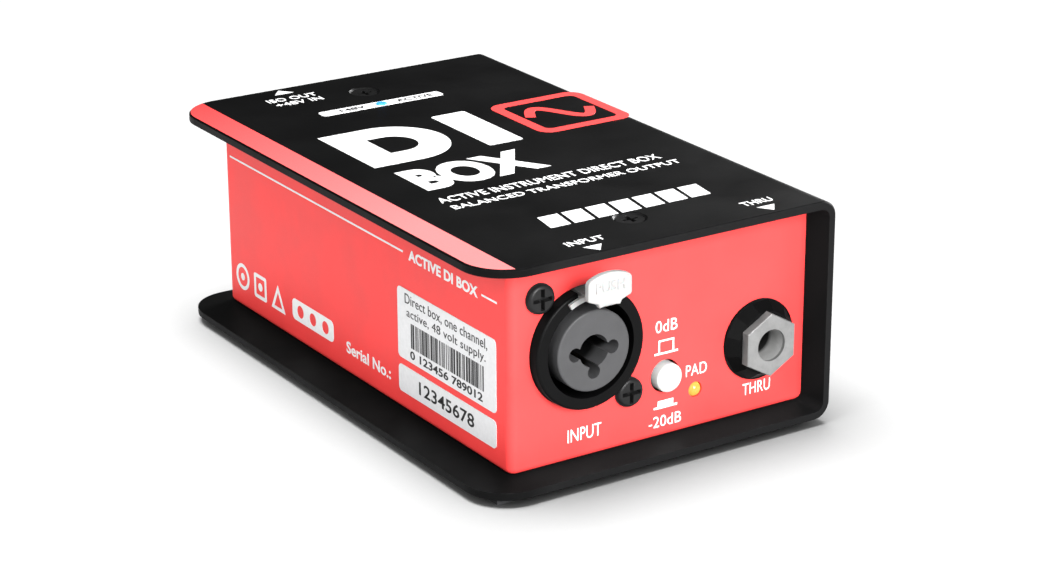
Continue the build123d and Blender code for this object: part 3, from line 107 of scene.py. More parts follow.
class Look:
    """A node material built from a few named layers."""

    def __init__(self, name):
        """Starts from a plain surface shader, read in the row frame's coordinates."""
        self.mat = bpy.data.materials.new(name)
        self.mat.use_nodes = True
        self.tree = self.mat.node_tree
        self.bsdf = self.tree.nodes["Principled BSDF"]
        self.coords = self.add("ShaderNodeTexCoord").outputs["Object"]

    def add(self, kind, **values):
        """A new node of a kind, with its properties set."""
        node = self.tree.nodes.new(kind)
        for key, value in values.items():
            setattr(node, key, value)
        return node

    def link(self, out, socket):
        """Wires an output to an input."""
        self.tree.links.new(out, socket)

    def noise(self, size_mm, detail=4.0, rough=0.55, stretch=(1, 1, 1)):
        """Noise whose features are about size_mm across."""
        mapping = self.add("ShaderNodeMapping")
        mapping.inputs["Scale"].default_value = stretch
        self.link(self.coords, mapping.inputs["Vector"])
        node = self.add("ShaderNodeTexNoise")
        node.inputs["Scale"].default_value = 1.0 / (size_mm * MM)
        node.inputs["Detail"].default_value = detail
        node.inputs["Roughness"].default_value = rough
        self.link(mapping.outputs["Vector"], node.inputs["Vector"])
        return node.outputs["Fac"]

    def cells(self, size_mm, stretch=(1, 1, 1)):
        """Distance to the nearest of scattered points about size_mm apart."""
        mapping = self.add("ShaderNodeMapping")
        mapping.inputs["Scale"].default_value = stretch
        self.link(self.coords, mapping.inputs["Vector"])
        node = self.add("ShaderNodeTexVoronoi", feature="F1")
        node.inputs["Scale"].default_value = 1.0 / (size_mm * MM)
        self.link(mapping.outputs["Vector"], node.inputs["Vector"])
        return node.outputs["Distance"]

    def span(self, value, low, high, to_low, to_high):
        """Turns the range low..high into to_low..to_high, clamped."""
        node = self.add("ShaderNodeMapRange")
        node.inputs["From Min"].default_value = low
        node.inputs["From Max"].default_value = high
        node.inputs["To Min"].default_value = to_low
        node.inputs["To Max"].default_value = to_high
        self.link(value, node.inputs["Value"])
        return node.outputs["Result"]

    def math(self, operation, a, b):
        """One arithmetic step on two values, each a number or an output."""
        node = self.add("ShaderNodeMath", operation=operation)
        for socket, value in zip(node.inputs, (a, b)):
            if isinstance(value, (int, float)):
                socket.default_value = value
            else:
                self.link(value, socket)
        return node.outputs["Value"]

    def mix(self, fac, a, b):
        """Blends from colour a to colour b, each a tuple or an output."""
        node = self.add("ShaderNodeMix", data_type="RGBA")
        if isinstance(fac, (int, float)):
            node.inputs["Factor"].default_value = fac
        else:
            self.link(fac, node.inputs["Factor"])
        for socket, value in ((node.inputs["A"], a), (node.inputs["B"], b)):
            sockets = [s for s in node.inputs if s.name == socket.name and s.type == "RGBA"]
            if isinstance(value, tuple):
                sockets[0].default_value = (*value[:3], 1.0)
            else:
                self.link(value, sockets[0])
        return [s for s in node.outputs if s.type == "RGBA"][0]

    def mottled(self, pattern, colour, darkest, lightest, low=0.3, high=0.7):
        """A colour that varies with a pattern, between two shares of itself."""
        share = self.span(pattern, low, high, 0.0, 1.0)
        return self.mix(share, scaled(colour, darkest), scaled(colour, lightest))

    def edges(self, radius_mm, gain=6.0):
        """1 near a sharp outer edge, 0 on flat ground."""
        bevel = self.add("ShaderNodeBevel", samples=4)
        bevel.inputs["Radius"].default_value = radius_mm * MM
        geometry = self.add("ShaderNodeNewGeometry")
        dot = self.add("ShaderNodeVectorMath", operation="DOT_PRODUCT")
        self.link(bevel.outputs["Normal"], dot.inputs[0])
        self.link(geometry.outputs["Normal"], dot.inputs[1])
        gap = self.math("SUBTRACT", 1.0, dot.outputs["Value"])
        clamp = self.add("ShaderNodeClamp")
        self.link(self.math("MULTIPLY", gap, gain), clamp.inputs["Value"])
        return clamp.outputs["Result"]

    def bump(self, height, strength, distance_mm):
        """Raises the surface by a height pattern."""
        node = self.add("ShaderNodeBump")
        node.inputs["Strength"].default_value = strength
        node.inputs["Distance"].default_value = distance_mm * MM
        self.link(height, node.inputs["Height"])
        self.link(node.outputs["Normal"], self.bsdf.inputs["Normal"])

    def paint_bore_shade(self, base, colour, deep):
        """Painted shade in a bore: darkens what lies behind the input panel's face, between two
        values of y in metres.
        """
        split = self.add("ShaderNodeSeparateXYZ")
        self.link(self.coords, split.inputs["Vector"])
        depth = self.span(split.outputs["Y"], *deep, 0.0, 1.0)
        return self.mix(depth, base, scaled(colour, BORE_SHADE_SHARE))

    def set(self, **values):
        """Sets the shader's inputs, named with underscores for spaces."""
        for key, value in values.items():
            socket = self.bsdf.inputs[key.replace("_", " ")]
            if isinstance(value, (int, float)):
                socket.default_value = value
            elif isinstance(value, tuple):
                socket.default_value = (*value[:3], 1.0)
            else:
                self.link(value, socket)


def scaled(colour, k):
    """A colour k times as light."""
    return tuple(min(1.0, c * k) for c in colour[:3])


def painted(
    name,
    colour,
    rough,
    grain_mm,
    bump,
    level,
    wear,
    wear_amount,
    field=None,
    spill=None,
    shade=None,
):
    """Powder coat: fine orange peel, slight mottling, and paint thinned along the edges.

    field is (height in metres, colour): the coat takes this colour on all that lies level above the
    height, darker than the rest.
    spill is the colour that the coat has for light bounced on to its neighbours.
    shade is (x, x, share): painted shade, the coat darkens to that share of itself from the second
    x to the first.
    """
    look = Look(name)
    cloud = look.noise(14.0, 3.0)
    peel = look.noise(grain_mm, 2.0, 0.5)
    base = look.mottled(cloud, colour, 0.93, 1.06)
    speck = look.span(look.noise(grain_mm * 0.6, 1.0), 0.62, 0.75, 0.0, 0.35)
    base = look.mix(speck, base, scaled(colour, 1.35))
    split = look.add("ShaderNodeSeparateXYZ")
    look.link(look.coords, split.inputs["Vector"])
    # painted shade towards the open side
    if shade:
        open_side = look.span(split.outputs["X"], shade[0], shade[1], 0.0, 1.0)
        base = look.mix(open_side, scaled(colour, shade[2]), base)
    if field:
        level_above = look.math("GREATER_THAN", split.outputs["Z"], field[0])
        base = look.mix(level_above, base, look.mix(speck, field[1], scaled(field[1], 1.6)))
    edge = look.edges(0.35)
    broken = look.span(look.noise(1.6, 6.0, 0.7), 0.48, 0.62, 0.0, wear_amount)
    base = look.mix(look.math("MULTIPLY", edge, broken), base, wear)
    if spill:
        ray = look.add("ShaderNodeLightPath")
        bounced = look.math("MAXIMUM", ray.outputs["Is Diffuse Ray"], ray.outputs["Is Glossy Ray"])
        base = look.mix(bounced, base, spill)
    look.set(Base_Color=base, Specular_IOR_Level=level)
    look.set(Roughness=look.span(cloud, 0.3, 0.7, rough - 0.05, rough + 0.06))
    look.bump(peel, bump, 0.02)
    return look


def moulded(
    name, colour, rough, grain_mm=0.25, bump=0.25, level=0.5, dust=0.04, subsurface=0.0, deep=None
):
    """Moulded plastic: spark-eroded texture, faint flow marks and lighter rubbed edges."""
    look = Look(name)
    flow = look.noise(5.0, 3.0, 0.6, (1, 0.35, 1))
    grain = look.noise(grain_mm, 3.0, 0.6)
    base = look.mottled(flow, colour, 0.94, 1.07, 0.35, 0.65)
    rub = look.math("MULTIPLY", look.edges(0.2), look.span(look.noise(0.9), 0.4, 0.7, 0.0, 1.0))
    pale = tuple(c + dust for c in scaled(colour, 1.25))
    base = look.mix(look.math("MULTIPLY", rub, 0.5), base, pale)
    # painted shade, darker deeper in a bore
    if deep:
        base = look.paint_bore_shade(base, colour, deep)
    look.set(Base_Color=base, Specular_IOR_Level=level)
    look.set(Roughness=look.span(grain, 0.3, 0.7, rough - 0.06, rough + 0.08))
    if subsurface:
        look.set(Subsurface_Weight=subsurface, Subsurface_Scale=0.6 * MM)
    look.bump(grain, bump, 0.012)
    return look


def metal(
    name, colour, rough, stretch=(1, 1, 1), grain_mm=0.3, bump=0.2, metallic=1.0, deep=None
):
    """Turned or plated metal: directional tool marks, cloudy plating and tarnish."""
    look = Look(name)
    marks = look.noise(grain_mm, 4.0, 0.7, stretch)
    cloud = look.noise(3.0, 3.0)
    base = look.mottled(cloud, colour, 0.88, 1.08, 0.35, 0.65)
    tarnish = look.span(look.noise(1.1, 5.0, 0.7), 0.55, 0.75, 0.0, 0.4)
    base = look.mix(tarnish, base, scaled(colour, 0.72))
    # painted shade, darker deeper in a bore
    if deep:
        base = look.paint_bore_shade(base, colour, deep)
    look.set(Base_Color=base, Metallic=metallic)
    look.set(Roughness=look.span(marks, 0.3, 0.7, rough - 0.07, rough + 0.1))
    look.bump(marks, bump, 0.01)
    return look


def lens(name, colour, glow, strength, coat=0.6):
    """Tinted epoxy of a lamp that glows, with a swirled tint."""
    look = Look(name)
    swirl = look.noise(0.9, 2.0)
    base = look.mottled(swirl, colour, 0.85, 1.1)
    look.set(Base_Color=base, Coat_Weight=coat, Coat_Roughness=0.06)
    look.set(Roughness=look.span(swirl, 0.3, 0.7, 0.16, 0.26), Emission_Color=glow)
    look.set(Emission_Strength=strength, Subsurface_Weight=0.2, Subsurface_Scale=0.8 * MM)
    look.bump(look.noise(0.5, 2.0), 0.08, 0.01)
    return look


def ink(name, colour, rough=0.5):
    """Screen-printed ink: slightly uneven film over the coat beneath it."""
    look = Look(name)
    film = look.noise(0.8, 5.0, 0.65)
    mesh_marks = look.noise(0.16, 1.0)
    base = look.mottled(film, colour, 0.95, 1.03, 0.35, 0.7)
    look.set(Base_Color=base, Specular_IOR_Level=0.35)
    look.set(Roughness=look.span(mesh_marks, 0.3, 0.7, rough - 0.06, rough + 0.06))
    look.bump(mesh_marks, 0.12, 0.008)
    return look


def ink_with_painted_sheen(name, colour, sheen_colour, y_no_sheen, y_full_sheen):
    """Ink with painted sheen: it pales along the box from one y to another, in metres."""
    look = ink(name, colour, 0.42)
    split = look.add("ShaderNodeSeparateXYZ")
    look.link(look.coords, split.inputs["Vector"])
    film = look.bsdf.inputs["Base Color"].links[0].from_socket
    share = look.span(split.outputs["Y"], y_no_sheen, y_full_sheen, 0.0, 1.0)
    look.set(Base_Color=look.mix(share, film, sheen_colour))
    return look


def rubber(name, colour):
    """Closed-cell sheet with open pores on its cut edge."""
    look = Look(name)
    pores = look.cells(0.45)
    cloud = look.noise(6.0, 4.0)
    base = look.mottled(cloud, colour, 0.85, 1.2)
    base = look.mix(look.span(pores, 0.0, 0.35, 0.55, 0.0), base, scaled(colour, 0.45))
    look.set(Base_Color=base, Specular_IOR_Level=0.2)
    look.set(Roughness=look.span(pores, 0.0, 0.5, 0.95, 0.8))
    look.bump(pores, 0.5, 0.06)
    return look


def winding(name, colour):
    """Layers of fine wire seen through a thin film."""
    look = Look(name)
    wave = look.add("ShaderNodeTexWave", bands_direction="Z")
    wave.inputs["Scale"].default_value = 900.0
    wave.inputs["Distortion"].default_value = 0.6
    look.link(look.coords, wave.inputs["Vector"])
    base = look.mix(wave.outputs["Fac"], scaled(colour, 0.55), colour)
    look.set(Base_Color=base, Metallic=0.6, Coat_Weight=0.5)
    look.set(Roughness=look.span(wave.outputs["Fac"], 0.0, 1.0, 0.45, 0.25))
    look.bump(wave.outputs["Fac"], 0.5, 0.05)
    return look


def board(name, colour):
    """Solder mask with the weave of the glass cloth and copper tracks showing faintly."""
    look = Look(name)
    weave = look.cells(0.9, (1, 1, 0.2))
    tracks = look.add("ShaderNodeTexBrick", offset=0.37, squash=1.4)
    tracks.inputs["Scale"].default_value = 210.0
    tracks.inputs["Mortar Size"].default_value = 0.06
    look.link(look.coords, tracks.inputs["Vector"])
    base = look.mottled(weave, colour, 0.8, 1.15, 0.1, 0.6)
    base = look.mix(look.math("MULTIPLY", tracks.outputs["Fac"], 0.55), base, scaled(colour, 1.9))
    look.set(Base_Color=base, Coat_Weight=0.3)
    look.set(Roughness=look.span(weave, 0.0, 0.6, 0.32, 0.45))
    look.bump(tracks.outputs["Fac"], 0.25, 0.03)
    return look


# where painted shade starts to darken the two jack bores, and where it is darkest
insert_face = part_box("combo_insert")[0].y
nut_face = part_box("thru_jack_nut")[0].y
INSERT_SHADE_DEPTHS = (insert_face + 3.4 * MM, insert_face + 5.2 * MM)
SLEEVE_SHADE_DEPTHS = (nut_face + 4.2 * MM, nut_face + 5.2 * MM)
RED = (0.93, 0.060, 0.058)
TURNED = (1, 6, 1)  # tightens a pattern along y, like the marks left by a lathe
LAMINATED = (1, 30, 1)  # tightens it further, like stacked sheets
looks = {
    "shell_paint": painted(
        "shell_paint",
        (0.0078, 0.0078, 0.0080),
        rough=0.46,
        grain_mm=0.42,
        bump=0.18,
        level=0.075,
        wear=(0.025, 0.025, 0.026),
        wear_amount=0.35,
        field=(shell_hi.z - 0.1 * MM, (0.0016, 0.0016, 0.0017)),
        # painted shade over the open side's overhang, left of the chassis's side
        shade=(chassis_lo.x - 1.0 * MM, chassis_lo.x + 5.0 * MM, 0.36),
    ),
    "chassis_paint": painted(
        "chassis_paint",
        RED,
        rough=0.42,
        grain_mm=0.5,
        bump=0.14,
        level=0.24,
        wear=(0.95, 0.2, 0.18),
        wear_amount=0.3,
        spill=(0.16, 0.12, 0.12),
    ),
    "pad_rubber": rubber("pad_rubber", (0.035, 0.035, 0.037)),
    "black_steel": moulded(
        "black_steel", (0.009, 0.009, 0.0092), 0.4, bump=0.25, level=0.25, dust=0.006
    ),
    "zinc_steel": metal("zinc_steel", (0.55, 0.55, 0.52), 0.34),
    "nickel": metal(
        "nickel", (0.27, 0.27, 0.268), 0.45, TURNED, grain_mm=0.35, bump=0.25, metallic=0.6
    ),
    "socket_black": moulded(
        "socket_black",
        (0.0030, 0.0030, 0.0031),
        0.4,
        grain_mm=0.2,
        bump=0.2,
        level=0.08,
        dust=0.001,
    ),
    "insert_grey": moulded(
        "insert_grey",
        (0.056, 0.056, 0.058),
        0.5,
        grain_mm=0.22,
        bump=0.3,
        level=0.3,
        dust=0.01,
        deep=INSERT_SHADE_DEPTHS,
    ),
    "tab_white": moulded(
        "tab_white", (0.37, 0.37, 0.365), 0.36, 0.3, 0.1, level=0.3, dust=0.0, subsurface=0.1
    ),
    "button_white": moulded(
        "button_white", (0.60, 0.60, 0.59), 0.32, 0.3, 0.1, level=0.4, dust=0.0, subsurface=0.1
    ),
    "switch_grey": moulded("switch_grey", (0.12, 0.12, 0.125), 0.5),
    "amber_lens": lens("amber_lens", (0.30, 0.19, 0.04), (1.0, 0.58, 0.08), 0.6, coat=0.0),
    "clear_lens": lens("clear_lens", (0.05, 0.35, 0.85), (0.02, 0.3, 1.0), 0.6),
    "clear_epoxy": lens("clear_epoxy", (0.3, 0.5, 0.85), (0.05, 0.3, 1.0), 0.8),
    "board_green": board("board_green", (0.02, 0.13, 0.05)),
    "tinned": metal("tinned", (0.6, 0.6, 0.58), 0.3, grain_mm=0.2),
    "gold": metal("gold", (0.85, 0.58, 0.2), 0.26, grain_mm=0.2),
    "chip_black": moulded("chip_black", (0.02, 0.02, 0.02), 0.6, 0.15, 0.4),
    "can_blue": moulded("can_blue", (0.02, 0.03, 0.1), 0.3, 0.5, 0.1),
    "film_red": moulded("film_red", (0.35, 0.05, 0.03), 0.3, 0.8, 0.15),
    "resistor_tan": moulded("resistor_tan", (0.5, 0.36, 0.2), 0.4, 0.4, 0.2),
    "core_steel": metal("core_steel", (0.2, 0.2, 0.2), 0.45, LAMINATED, grain_mm=6.0, bump=0.5),
    "copper_wire": winding("copper_wire", (0.55, 0.2, 0.07)),
    "bobbin_black": moulded("bobbin_black", (0.03, 0.03, 0.03), 0.45),
    "sticker": ink("sticker", (0.78, 0.78, 0.79), 0.42),
}
WHITE_INK = ink("white_ink", (0.86, 0.86, 0.86))
BLACK_INK = ink("black_ink", (0.012, 0.012, 0.013), 0.45)
RED_INK = ink("red_ink", RED, 0.42)
# red print, paler towards the front as painted sheen
STRIPE_INK = ink_with_painted_sheen(
    "stripe_ink", (0.93, 0.046, 0.046), (0.93, 0.205, 0.205), shell_hi.y, chassis_lo.y + 22 * MM
)

slot_of = {s["node"]: s["material_slot"] for s in frame["record"]["subparts"]}
for node, thing in frame["nodes"].items():
    look = looks[slot_of[node]]
    if not thing.material_slots:
        thing.data.materials.append(look.mat)
    for material_slot in thing.material_slots:
        material_slot.link = "OBJECT"
        material_slot.material = look.mat
# the bushing's nickel, with painted shade down its bore
sleeve_look = metal(
    "sleeve_nickel",
    (0.42, 0.42, 0.415),
    0.45,
    TURNED,
    grain_mm=0.35,
    bump=0.25,
    metallic=0.25,
    deep=SLEEVE_SHADE_DEPTHS,
)
frame["nodes"]["thru_jack_bushing"].material_slots[0].material = sleeve_look.mat
# the top screws take a darker copy of the black screws' look
sunk_look = moulded(
    "top_screw_darker_black", (0.0028, 0.0028, 0.0029), 0.42, bump=0.25, level=0.2, dust=0.002
)
frame["nodes"]["top_screws"].material_slots[0].material = sunk_look.mat

# ------------------------------------------------------------------ printed pieces


def place_mesh(name, bm, face, origin, look, body="enclosure"):
    """Turns a flat drawing in metres into a piece lying on a face."""
    bmesh.ops.remove_doubles(bm, verts=bm.verts, dist=1e-7)
    bmesh.ops.recalc_face_normals(bm, faces=bm.faces)
    bmesh.ops.transform(bm, matrix=to_face(face, origin), verts=bm.verts)
    mesh = bpy.data.meshes.new(name)
    bm.to_mesh(mesh)
    bm.free()
    piece = bpy.data.objects.new(name, mesh)
    scene.collection.objects.link(piece)
    mesh.materials.append(look.mat)
    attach(piece, body)
    return piece


def curve_mesh(curve):
    """The bmesh of a filled, extruded curve or text."""
    holder = bpy.data.objects.new("outline", curve)
    scene.collection.objects.link(holder)
    bpy.context.view_layer.update()
    graph = bpy.context.evaluated_depsgraph_get()
    mesh = bpy.data.meshes.new_from_object(holder.evaluated_get(graph), depsgraph=graph)
    bm = bmesh.new()
    bm.from_mesh(mesh)
    bpy.data.objects.remove(holder)
    bpy.data.curves.remove(curve)
    bpy.data.meshes.remove(mesh)
    return bm


def fit(bm, width, height, thickness):
    """Scales a drawing to a box around the origin, with its underside a little below z = 0."""
    xs = [v.co.x for v in bm.verts]
    ys = [v.co.y for v in bm.verts]
    zs = [v.co.z for v in bm.verts]
    wide, tall, deep = max(xs) - min(xs), max(ys) - min(ys), max(zs) - min(zs)
    centre = ((max(xs) + min(xs)) / 2, (max(ys) + min(ys)) / 2)
    for v in bm.verts:
        v.co.x = (v.co.x - centre[0]) / wide * width
        v.co.y = (v.co.y - centre[1]) / tall * height
        v.co.z = (v.co.z - min(zs)) / deep * thickness - SINK


def letters(
    name, words, face, origin, width, height, look=None, weight=0.02, thickness=INK, **more
):
    """Printed words filling a box width x height mm around origin."""
    curve = bpy.data.curves.new(name, "FONT")
    curve.body = words
    curve.size = 1.0
    curve.offset = weight
    curve.extrude = 0.05
    curve.resolution_u = 5
    curve.fill_mode = "BOTH"
    curve.space_character = LETTER_SPACING
    bm = curve_mesh(curve)
    fit(bm, width * MM, height * MM, thickness)
    return place_mesh(name, bm, face, origin, look or WHITE_INK, **more)


def outline(name, loops, face, origin, look=None, thickness=INK, **more):
    """A flat shape from closed loops of (x, y) in mm; a loop inside another is a hole."""
    curve = bpy.data.curves.new(name, "CURVE")
    curve.dimensions = "2D"
    curve.fill_mode = "BOTH"
    curve.extrude = thickness / 2
    for loop in loops:
        spline = curve.splines.new("POLY")
        spline.points.add(len(loop) - 1)
        for point, (x, y) in zip(spline.points, loop):
            point.co = (x * MM, y * MM, 0, 1)
        spline.use_cyclic_u = True
    bm = curve_mesh(curve)
    for v in bm.verts:
        v.co.z += thickness / 2 - SINK
    return place_mesh(name, bm, face, origin, look or WHITE_INK, **more)


def arc(cx, cy, r, start, stop, steps=16):
    """Points along an arc, from one angle to another in degrees."""
    turn = [start + (stop - start) * i / steps for i in range(steps + 1)]
    return [(cx + r * math.cos(math.radians(a)), cy + r * math.sin(math.radians(a))) for a in turn]


def circle(cx, cy, r, steps=48):
    """A closed loop of points."""
    return arc(cx, cy, r, 0, 360, steps)[:-1]


def rectangle(x0, y0, x1, y1):
    """A closed loop through four corners."""
    return [(x0, y0), (x1, y0), (x1, y1), (x0, y1)]


def rounded(x0, y0, x1, y1, r):
    """A rectangle's loop with rounded corners."""
    return (
        arc(x1 - r, y0 + r, r, -90, 0, 8)
        + arc(x1 - r, y1 - r, r, 0, 90, 8)
        + arc(x0 + r, y1 - r, r, 90, 180, 8)
        + arc(x0 + r, y0 + r, r, 180, 270, 8)
    )


def stroke(points, width):
    """The closed outline of a line of constant width through points."""
    left, right = [], []
    for i, (x, y) in enumerate(points):
        ax, ay = points[max(i - 1, 0)]
        bx, by = points[min(i + 1, len(points) - 1)]
        length = math.hypot(bx - ax, by - ay)
        nx, ny = -(by - ay) / length, (bx - ax) / length
        left.append((x + nx * width / 2, y + ny * width / 2))
        right.append((x - nx * width / 2, y - ny * width / 2))
    return left + right[::-1]


# top plate: coloured stripe along the open edge
STRIPE = 6.1  # its width, from the plate's edge
EDGE_BREAK = 0.35  # of the plate, which the ink doesn't cover
corner = 9.0  # radius of the plate's corners
y_front, y_rear = shell_lo.y / MM, shell_hi.y / MM


def stripe_edge(centre_y, start, stop):
    """The stripe's edge around one of the plate's corners."""
    return arc(shell_lo.x / MM + corner, centre_y, corner - EDGE_BREAK, start, stop, 24)


reach = math.degrees(math.acos((corner - STRIPE) / (corner - EDGE_BREAK)))
stripe_loop = stripe_edge(y_rear - corner, 180 - reach, 180) + stripe_edge(
    y_front + corner, 180, 180 + reach
)
outline("stripe", [stripe_loop], TOP, Vector((0, 0, shell_hi.z)), STRIPE_INK, STRIPE_INK_DEPTH)

# top plate: heading, made of plain block shapes
HEADING_Y = 57.0  # of the heading's foot
HEADING_TALL = 23.0
BOWL_R = HEADING_TALL / 2
BOWL_X = 11.0  # where the bowl's round part starts
BOWL_HOLE_R = 5.0
BOWL_HOLE_X = 7.5
outline(
    "heading_d",
    [
        [(0, 0)] + arc(BOWL_X, BOWL_R, BOWL_R, -90, 90, 32) + [(0, HEADING_TALL)],
        [(BOWL_HOLE_X, BOWL_R - BOWL_HOLE_R)]
        + arc(BOWL_X, BOWL_R, BOWL_HOLE_R, -90, 90, 24)
        + [(BOWL_HOLE_X, BOWL_R + BOWL_HOLE_R)],
    ],
    TOP,
    top_place(5.5, HEADING_Y),
)
outline("heading_i", [rounded(0, 0, 8, HEADING_TALL, 0.6)], TOP, top_place(32.0, HEADING_Y))
badge_at = top_place(56.4, 68.6)
BADGE_HALF = 11.2
BADGE_INNER_HALF = 8.8
WAVE_HALF = 7.2
WAVE_TALL = 4.6
WAVE_STEPS = 40
wave_line = [
    (
        WAVE_HALF * (2 * i / WAVE_STEPS - 1),
        WAVE_TALL * math.sin(math.tau * i / WAVE_STEPS),
    )
    for i in range(WAVE_STEPS + 1)
]
outline(
    "heading_badge",
    [
        rounded(-BADGE_HALF, -BADGE_HALF, BADGE_HALF, BADGE_HALF, 3.2),
        rounded(-BADGE_INNER_HALF, -BADGE_INNER_HALF, BADGE_INNER_HALF, BADGE_INNER_HALF, 1.6),
    ],
    TOP,
    badge_at,
    RED_INK,
)
outline("heading_wave", [stroke(wave_line, 2.2)], TOP, badge_at, RED_INK)
letters("heading_box", "BOX", TOP, top_place(21.0, 45.8), 28.0, 13.2, weight=0.055)

# top plate: a row of slanted bars
BAR_COUNT = 7
BAR_PITCH = 5.3
BAR_LOOP = [(0, 0), (4.4, 0), (5.4, 6.2), (1.0, 6.2)]
for i in range(BAR_COUNT):
    outline(f"level_bar_{i + 1}", [BAR_LOOP], TOP, top_place(14.6 + BAR_PITCH * i, 8.6))

# top plate: lines of text and the legends beside the panels
for name, words, x, y, width, height, weight in (
    ("line_one", "ACTIVE INSTRUMENT DIRECT BOX", 30.6, 33.0, 50.6, 2.9, 0.010),
    ("line_two", "BALANCED TRANSFORMER OUTPUT", 31.6, 28.3, 52.0, 2.2, 0.010),
    ("top_input", "INPUT", 15.8, -0.6, 8.2, 2.2, 0.012),
    ("top_thru", "THRU", 55.0, -0.1, 6.9, 2.2, 0.012),
    ("top_output", "ISO OUT", 14.9, 108.0, 11.5, 2.3, 0.012),
    ("top_supply", "+48V IN", 14.9, 104.7, 10.8, 2.3, 0.012),
):
    letters(name, words, TOP, top_place(x, y), width, height, weight=weight)
ARROW_TALL = 2.7
down_arrow = [(-2.05, 0), (0, -ARROW_TALL), (2.05, 0)]
up_arrow = [(-2.2, 0), (2.2, 0), (0, ARROW_TALL)]
outline("top_input_arrow", [down_arrow], TOP, top_place(15.5, -3.4))
outline("top_thru_arrow", [down_arrow], TOP, top_place(55.0, -2.9))
outline("top_output_arrow", [up_arrow], TOP, top_place(15.0, 111.5))

# top plate: status strip around the light pipe
pipe_lo, pipe_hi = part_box("light_pipe")
pipe = (pipe_lo + pipe_hi) / 2
pipe_r = (pipe_hi.x - pipe_lo.x) / 2 / MM
strip_at = Vector((pipe.x, pipe.y, shell_hi.z))
STRIP_HALF = (14.5, 1.6)
PIPE_GAP = 0.06  # between the print and the pipe
outline(
    "status_strip",
    [
        rounded(-STRIP_HALF[0], -STRIP_HALF[1], STRIP_HALF[0], STRIP_HALF[1], 1.0),
        circle(0, 0, pipe_r + PIPE_GAP),
    ],
    TOP,
    strip_at,
)
for name, words, x, width in (
    ("status_supply", "+48V", -7.2, 6.4),
    ("status_active", "ACTIVE", 8.0, 8.6),
):
    word_at = strip_at + Vector((x * MM, 0, INK - SINK))
    letters(name, words, TOP, word_at, width, 1.7, BLACK_INK)

# input and output panel legends
for name, words, x, z, width, height in (
    ("front_input", "INPUT", 16.3, 4.95, 7.5, 2.6),
    ("front_thru", "THRU", 56.2, 5.1, 6.6, 2.4),
    ("front_pad", "PAD", 41.8, 12.0, 4.9, 2.3),
    ("front_zero", "0dB", 34.7, 22.35, 5.0, 2.4),
    ("front_minus", "-20dB", 34.65, 3.2, 7.5, 2.3),
):
    letters(name, words, FRONT, front_place(x, z), width, height, weight=0.0)
for name, words, x, z, width, height in (
    ("rear_output", "OUTPUT", 15.65, 5.0, 9.6, 2.6),
    ("rear_lift", "GND LIFT", 41.0, 19.6, 11.2, 2.3),
):
    letters(name, words, REAR, rear_place(x, z), width, height, weight=0.0)


BASE_HALF = 2.7
CAP_HALF = 1.8


def button_symbol(tall, base_tall):
    """Side view of a push button on its panel, as high as the button stands out."""
    return [
        (-BASE_HALF, 0),
        (BASE_HALF, 0),
        (BASE_HALF, base_tall),
        (CAP_HALF, base_tall),
        (CAP_HALF, tall),
        (-CAP_HALF, tall),
        (-CAP_HALF, base_tall),
        (-BASE_HALF, base_tall),
    ]


outline(
    "symbol_out",
    [button_symbol(2.9, 0.4), rectangle(-1.45, 0.4, 1.45, 2.55)],
    FRONT,
    front_place(34.7, 16.7),
)
outline("symbol_in", [button_symbol(1.6, 0.45)], FRONT, front_place(34.7, 5.75))

# left side: a rule with words in it, four plain marks and a legend
HALF_RULE = 0.19
RULE_Z = 32.65
for name, y, half in (("side_rule", 72.8, 35.4), ("side_rule_end", 6.8, 2.6)):
    outline(
        name, [rectangle(-half, -HALF_RULE, half, HALF_RULE)], LEFT, left_place(y, RULE_Z)
    )
letters("side_words", "ACTIVE DI BOX", LEFT, left_place(23.0, RULE_Z), 24.6, 2.2, weight=0.035)
MARKS_Z = 7.0
for name, y, loops in (
    ("side_mark_ring", 104.4, [circle(0, 0, r) for r in (2.9, 2.1, 0.8)]),
    (
        "side_mark_square",
        96.6,
        [
            rounded(-2.7, -2.7, 2.7, 2.7, 0.6),
            rounded(-1.9, -1.9, 1.9, 1.9, 0.3),
            circle(0, 0, 0.9),
        ],
    ),
    (
        "side_mark_triangle",
        88.8,
        [
            [(-3.0, -2.7), (3.0, -2.7), (0, 2.9)],
            [(-1.75, -1.98), (1.75, -1.98), (0, 1.3)],
        ],
    ),
    (
        "side_mark_bar",
        74.0,
        [rounded(-8.6, -2.3, 8.6, 2.3, 1.2)] + [circle(x, 0, 1.35) for x in (-5.2, 0, 5.2)],
    ),
):
    outline(name, loops, LEFT, left_place(y, MARKS_Z))
letters("side_serial", "Serial No.:", LEFT, left_place(51.6, 5.8), 17.3, 2.5)

# stickers
barcode_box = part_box("barcode_label")
serial_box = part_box("serial_label")


def on_label(box, z):
    """A point on a sticker's middle line, z up from its middle, in mm."""
    lo, hi = box
    return Vector((lo.x, (lo.y + hi.y) / 2, (lo.z + hi.z) / 2 + z * MM))


